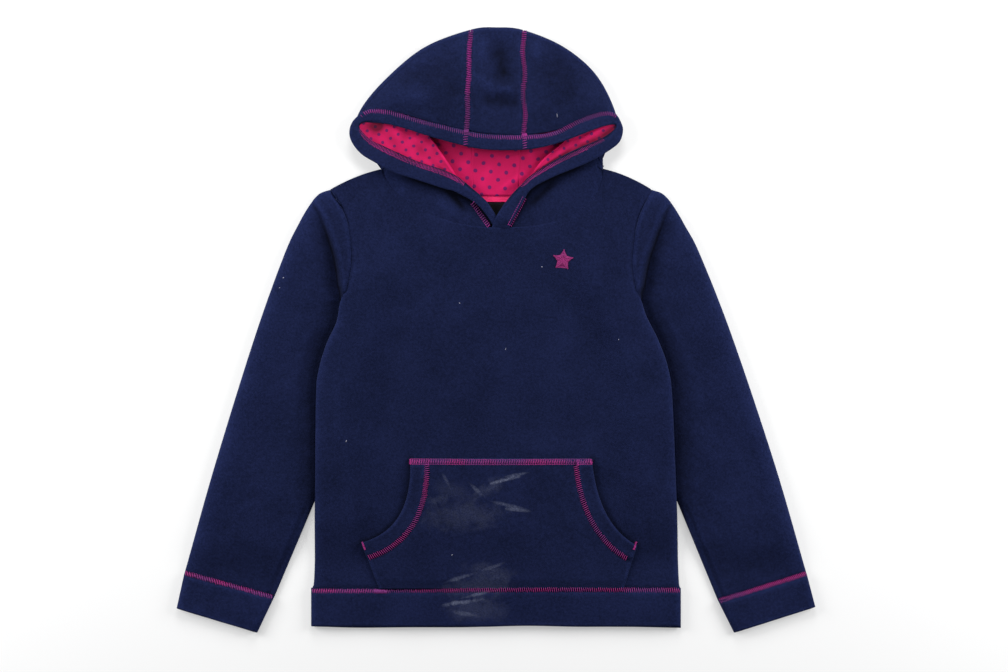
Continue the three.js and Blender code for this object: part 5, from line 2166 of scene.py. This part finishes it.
FINISHES = (
    Fleece(),
    Fleece(name="marked_fleece", smudges=STAINS),
    Jersey(),
    Jersey(name="pink_tape", ground=(0.75, 0.026, 0.13), printed=False),
    Thread(),
    Thread("magenta_thread", (0.34, 0.026, 0.24), (0.17, 0.026, 0.17)),
    Thread("wine_thread", (0.32, 0.014, 0.16), (0.17, 0.010, 0.10)),
    Thread("star_thread", (0.27, 0.018, 0.14), (0.22, 0.018, 0.14)),
    Thread("pale_fibre", (0.45, 0.45, 0.55), (0.35, 0.36, 0.5)),
    Fleece(name="black_satin", dark=(0.004, 0.004, 0.005), light=(0.007, 0.007, 0.009), sheen=0.02),
)
NAVY, MARKED, DOTTED, PINK = (FINISHES[k].name for k in (0, 1, 2, 4))
THREADS = {"hood_stitching": "magenta_thread", "rim_stitching": "wine_thread"}


@dataclass
class Hoodie:
    """The whole garment: its sub-assemblies, its pieces of cloth and its stitching.

    Attributes:
        panel_gap: gap between the hood's panels at the crown seams, as a share of a rib's spacing.
        specks: specks of lint: x, y, direction in degrees and length.
        tacks: the short bars of thread at the pocket's corners, as pairs of ends.
        pieces: everything listed so far.
    """

    body: Body = field(default_factory=Body)
    waistband: Waistband = field(default_factory=Waistband)
    pocket: Pocket = field(default_factory=Pocket)
    star: Star = field(default_factory=Star)
    hem: HoodHem = field(default_factory=HoodHem)
    shell: HoodShell = field(default_factory=HoodShell)
    trim: NeckTrim = field(default_factory=NeckTrim)
    panel_gap: float = 0.012
    specks: tuple[Row, ...] = (
        (63.6, 223, 96, 4.2), (-222, 54.5, 60, 1.6), (-226, 44, 20, 1.4), (-156, -116, 70, 2.0),
        (-46, -235, 30, 1.6), (10, -20, 60, 2.0), (48, 66, 10, 1.6), (-38, 28, 130, 1.6),
        (128, -10, 80, 1.4),
    )
    tacks: tuple[tuple[Pair, Pair], ...] = (
        ((-139.6, -221.2), (-136.4, -229.4)), ((146.6, -221.2), (143.6, -229.2)),
        ((-89.6, -134.9), (-89.6, -140.4)), ((-70.6, -135.4), (-70.8, -141.4)),
        ((85.4, -135.4), (85.6, -141.4)), ((99.6, -134.9), (99.6, -140.4)),
    )
    pieces: list[Piece] = field(default_factory=list)

    def sheet(self, node: str, grids: list[Grid], finish: str, cut: Cut | None = None, under: str = "floor",
              trims: tuple[str, ...] = (), wall: float = PLY, slot: str = "fleece") -> None:
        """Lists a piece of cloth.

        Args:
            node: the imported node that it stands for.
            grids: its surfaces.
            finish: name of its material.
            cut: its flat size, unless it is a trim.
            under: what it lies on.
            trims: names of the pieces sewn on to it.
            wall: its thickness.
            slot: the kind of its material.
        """
        self.pieces.append(Piece(f"{node}_cloth", grids, finish, slot, (node,), wall, cut, (under,), trims))

    def cloth(self) -> None:
        """Lists the pieces of cloth."""
        body, band, pocket = self.body, self.waistband, self.pocket
        self.sheet("front_panel", [body.front(pocket.openings())], MARKED, body.front_cut,
                   "back_panel_cloth", ("lint", "star_stitching"))
        self.sheet("back_panel", [body.back()], NAVY, body.back_cut,
                   trims=("neck_tape_cloth", "neck_label_cloth"))
        for name, side in SIDES.items():
            sleeve, cuff = Sleeve(side), Cuff(side)
            self.sheet(f"sleeve_{name}", [sleeve.grid()], NAVY, sleeve.cut)
            self.sheet(f"cuff_{name}", [cuff.grid()], NAVY, cuff.cut, trims=(f"cuff_{name}_stitching",),
                       wall=DOUBLE_PLY)
        self.sheet("waistband", [band.grid()], MARKED, band.cut, trims=("waist_stitching",),
                   wall=DOUBLE_PLY)
        self.sheet("pocket", [pocket.grid()], MARKED, pocket.cut, "front_panel_cloth",
                   ("pocket_stitching",))
        self.hood_cloth()
        self.sheet("neck_tape", [self.trim.tape()], "pink_tape", wall=0.8, slot="lining")
        self.sheet("neck_label", [self.trim.label()], "black_satin", wall=0.5, slot="label")

    def hood_cloth(self) -> None:
        """Lists the hood's pieces of cloth: the outer panels with their fronts, the hem and the lining."""
        shell, hem, lining, gap = self.shell, self.hem, HoodLining(self.shell), self.panel_gap
        left, right = shell.seams
        outer_rims, inner_rims = ([hem.path(*run, share) for run in (hem.left_run, hem.right_run)]
                                  for share in (1.0, 0.0))
        tables = (shell.left_front, shell.right_front)
        fronts = [shell.front(table, rim) for table, rim in zip(tables, outer_rims)]
        self.sheet("hood_left", [shell.panel(0, left - gap, 100), fronts[0]], NAVY, shell.side_cut,
                   trims=("hood_stitching", "rim_stitching"))
        self.sheet("hood_centre", [shell.panel(left + gap, right - gap, 60)], NAVY, shell.centre_cut)
        self.sheet("hood_right", [shell.panel(right + gap, len(shell.ribs) - 1, 100), fronts[1]], NAVY,
                   shell.side_cut)
        self.sheet("hood_hem", [hem.grid()], NAVY, hem.cut, "hood_left_cloth", wall=0.0)
        tables = (lining.left_wing, lining.right_wing)
        wings = [lining.wing(table, rim) for table, rim in zip(tables, inner_rims)]
        for name, grids, cut in (("left", [lining.panel(3, left, 70), wings[0]], lining.side_cut),
                                 ("centre", [lining.panel(left, right, 50)], lining.centre_cut),
                                 ("right", [lining.panel(right, 11, 70), wings[1]], lining.side_cut)):
            self.sheet(f"hood_lining_{name}", grids, DOTTED, cut, f"hood_{name}_cloth", wall=LINING_PLY,
                       slot="lining")

    def crown_paths(self) -> list[Array]:
        """Returns the crown seams from the mouth to the outline, swaying a little, in plan."""
        paths = []
        for seam, sway in zip(self.shell.seams, (0.5, 1.0)):
            share = np.array([seam / (len(self.shell.ribs) - 1)])
            path = self.shell.surface(share, np.linspace(0, 0.47, 40))[0, :, :2]
            path[:, 0] += sway * np.sin(path[:, 1] / 7.0 + 1.0)
            paths.append(path)
        return paths

    def ladders(self) -> dict[str, list[Ladder]]:
        """Returns the rows of stitching of each piece of thread."""
        loose = partial(Ladder, needle_lines=False, ragged=0.22)
        tight = partial(Ladder, width=2.0, pitch=0.8, slant=0.0, needle_lines=False, sink=-0.3)
        crown, rim = self.crown_paths(), self.hem.path
        cuffs = {
            "left": [(-325.5, -254.5), (-280, -266.8), (-234, -279.6)],
            "right": [(325, -255), (280, -269), (234, -283.5)],
        }
        return {
            "waist_stitching": [
                loose([(-192.5, -273), (-112, -273.2)], pitch=1.8, thread=0.4),
                Ladder([(-128, -273.2), (-114, -273.2)], width=3.4, pitch=0.9, slant=0, sink=-0.3),
                loose([(-112, -273.0), (-55, -272.6)], width=4.0, pitch=2.2, thread=0.3),
                loose([(-55, -272.6), (60, -271.6), (192.5, -272.4)], width=5.0, pitch=2.2, thread=0.36),
            ],
            **{f"cuff_{name}_stitching": [loose(path, pitch=1.8)] for name, path in cuffs.items()},
            "pocket_stitching": [
                Ladder([(-89.5, -137.4), (0, -138), (99.5, -137.6)], width=5.4, pitch=1.8, thread=0.38),
                *(loose(self.pocket.hem_line(side), width=5.6, thread=0.36) for side in (LEFT, RIGHT)),
                *(tight(tack) for tack in self.tacks),
            ],
            "hood_stitching": [
                loose(crown[0], width=5.2, pitch=1.9, thread=0.5),
                loose(crown[1], width=5.0, pitch=2.0, thread=0.4),
                loose([(-31.8, 191.8), (-30.8, 207)], pitch=2.2, thread=0.38),
                loose([(30.2, 188), (29.8, 203)], pitch=2.2, thread=0.38),
                tight([(-30.8 - 2.4, 207.2), (-30.8 + 2.4, 207.2)], width=3.4),
                tight([(29.8 - 2.4, 203.2), (29.8 + 2.4, 203.2)], width=3.4),
                loose(rim(14.4, 30.6, 0.82), width=4.8, pitch=2.2, thread=0.34),
                Ladder([(-25, 133.5), (-15.5, 120), (-7, 108)], width=3.8, pitch=2.3),
                Ladder([(30, 138.5), (22, 123.5), (14, 108.5)], width=3.8, pitch=2.3),
            ],
            "rim_stitching": [
                loose(rim(4.8, 12.8, 0.17), width=4.4, pitch=1.5, thread=0.34),
                loose(rim(5.4, 12.0, 0.29), width=1.2, pitch=1.6, slant=0.9, thread=0.4),
                loose(rim(33.4, 40.2, 0.2), width=3.6, pitch=1.6, thread=0.3),
                loose(rim(34.6, 40.0, 0.3), width=1.2, pitch=1.6, slant=0.9, thread=0.36),
            ],
        }

    def lint(self, relief: Relief) -> Grid:
        """Specks of pale fibre caught on the nap.

        Args:
            relief: the cloth's heights.

        Returns:
            The specks, each a short stitch.
        """
        x, y, lean, size = np.array(self.specks).T
        a = np.radians(lean)
        half = stacked(np.cos(a), np.sin(a)) * size[:, None] / 2
        plan = stacked(x, y)
        ends = (raised(place, relief.at(place)) for place in (plan - half, plan + half))
        return Yarn(radius=0.3, arch=0.3).stitches(*ends)

    def thread_work(self) -> None:
        """Lists the pieces of thread, laid on everything built so far."""
        relief = Relief()
        for piece in self.pieces:
            if piece.slot == "fleece":
                for grid in piece.grids:
                    relief.add(grid)
        seeds = itertools.count(1)
        for name, rows in self.ladders().items():
            grids = [grid for row in rows for grid in row.grids(relief, next(seeds))]
            self.pieces.append(Piece(name, grids, THREADS.get(name, PINK), "thread"))
        self.pieces.append(Piece("lint", [self.lint(relief)], "pale_fibre", "thread"))
        spine, edge = self.star.stitches()
        satin = Yarn(radius=0.42, arch=0.4).stitches(raised(spine, relief.at(spine) + 0.9),
                                                     raised(edge, relief.at(edge) + 0.15))
        star = [self.star.base(), satin]
        self.pieces.append(Piece("star_stitching", star, "star_thread", "thread", ("star",)))

    def build(self) -> None:
        for finish in FINISHES:
            finish.material()
        self.cloth()
        self.thread_work()
        for piece in self.pieces:
            piece.build()
        for piece in self.pieces:
            piece.declare()


def corners() -> list[list[float]]:
    """Returns the shown object's lowest and highest corner as plain numbers."""
    return [[float(value) for value in corner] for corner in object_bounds()]


def main() -> None:
    """Builds the studio and the garment."""
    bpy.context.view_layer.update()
    studio = Studio()
    studio.camera()
    studio.floor()
    studio.lights()
    Hoodie().build()


if __name__ == "__main__":
    main()
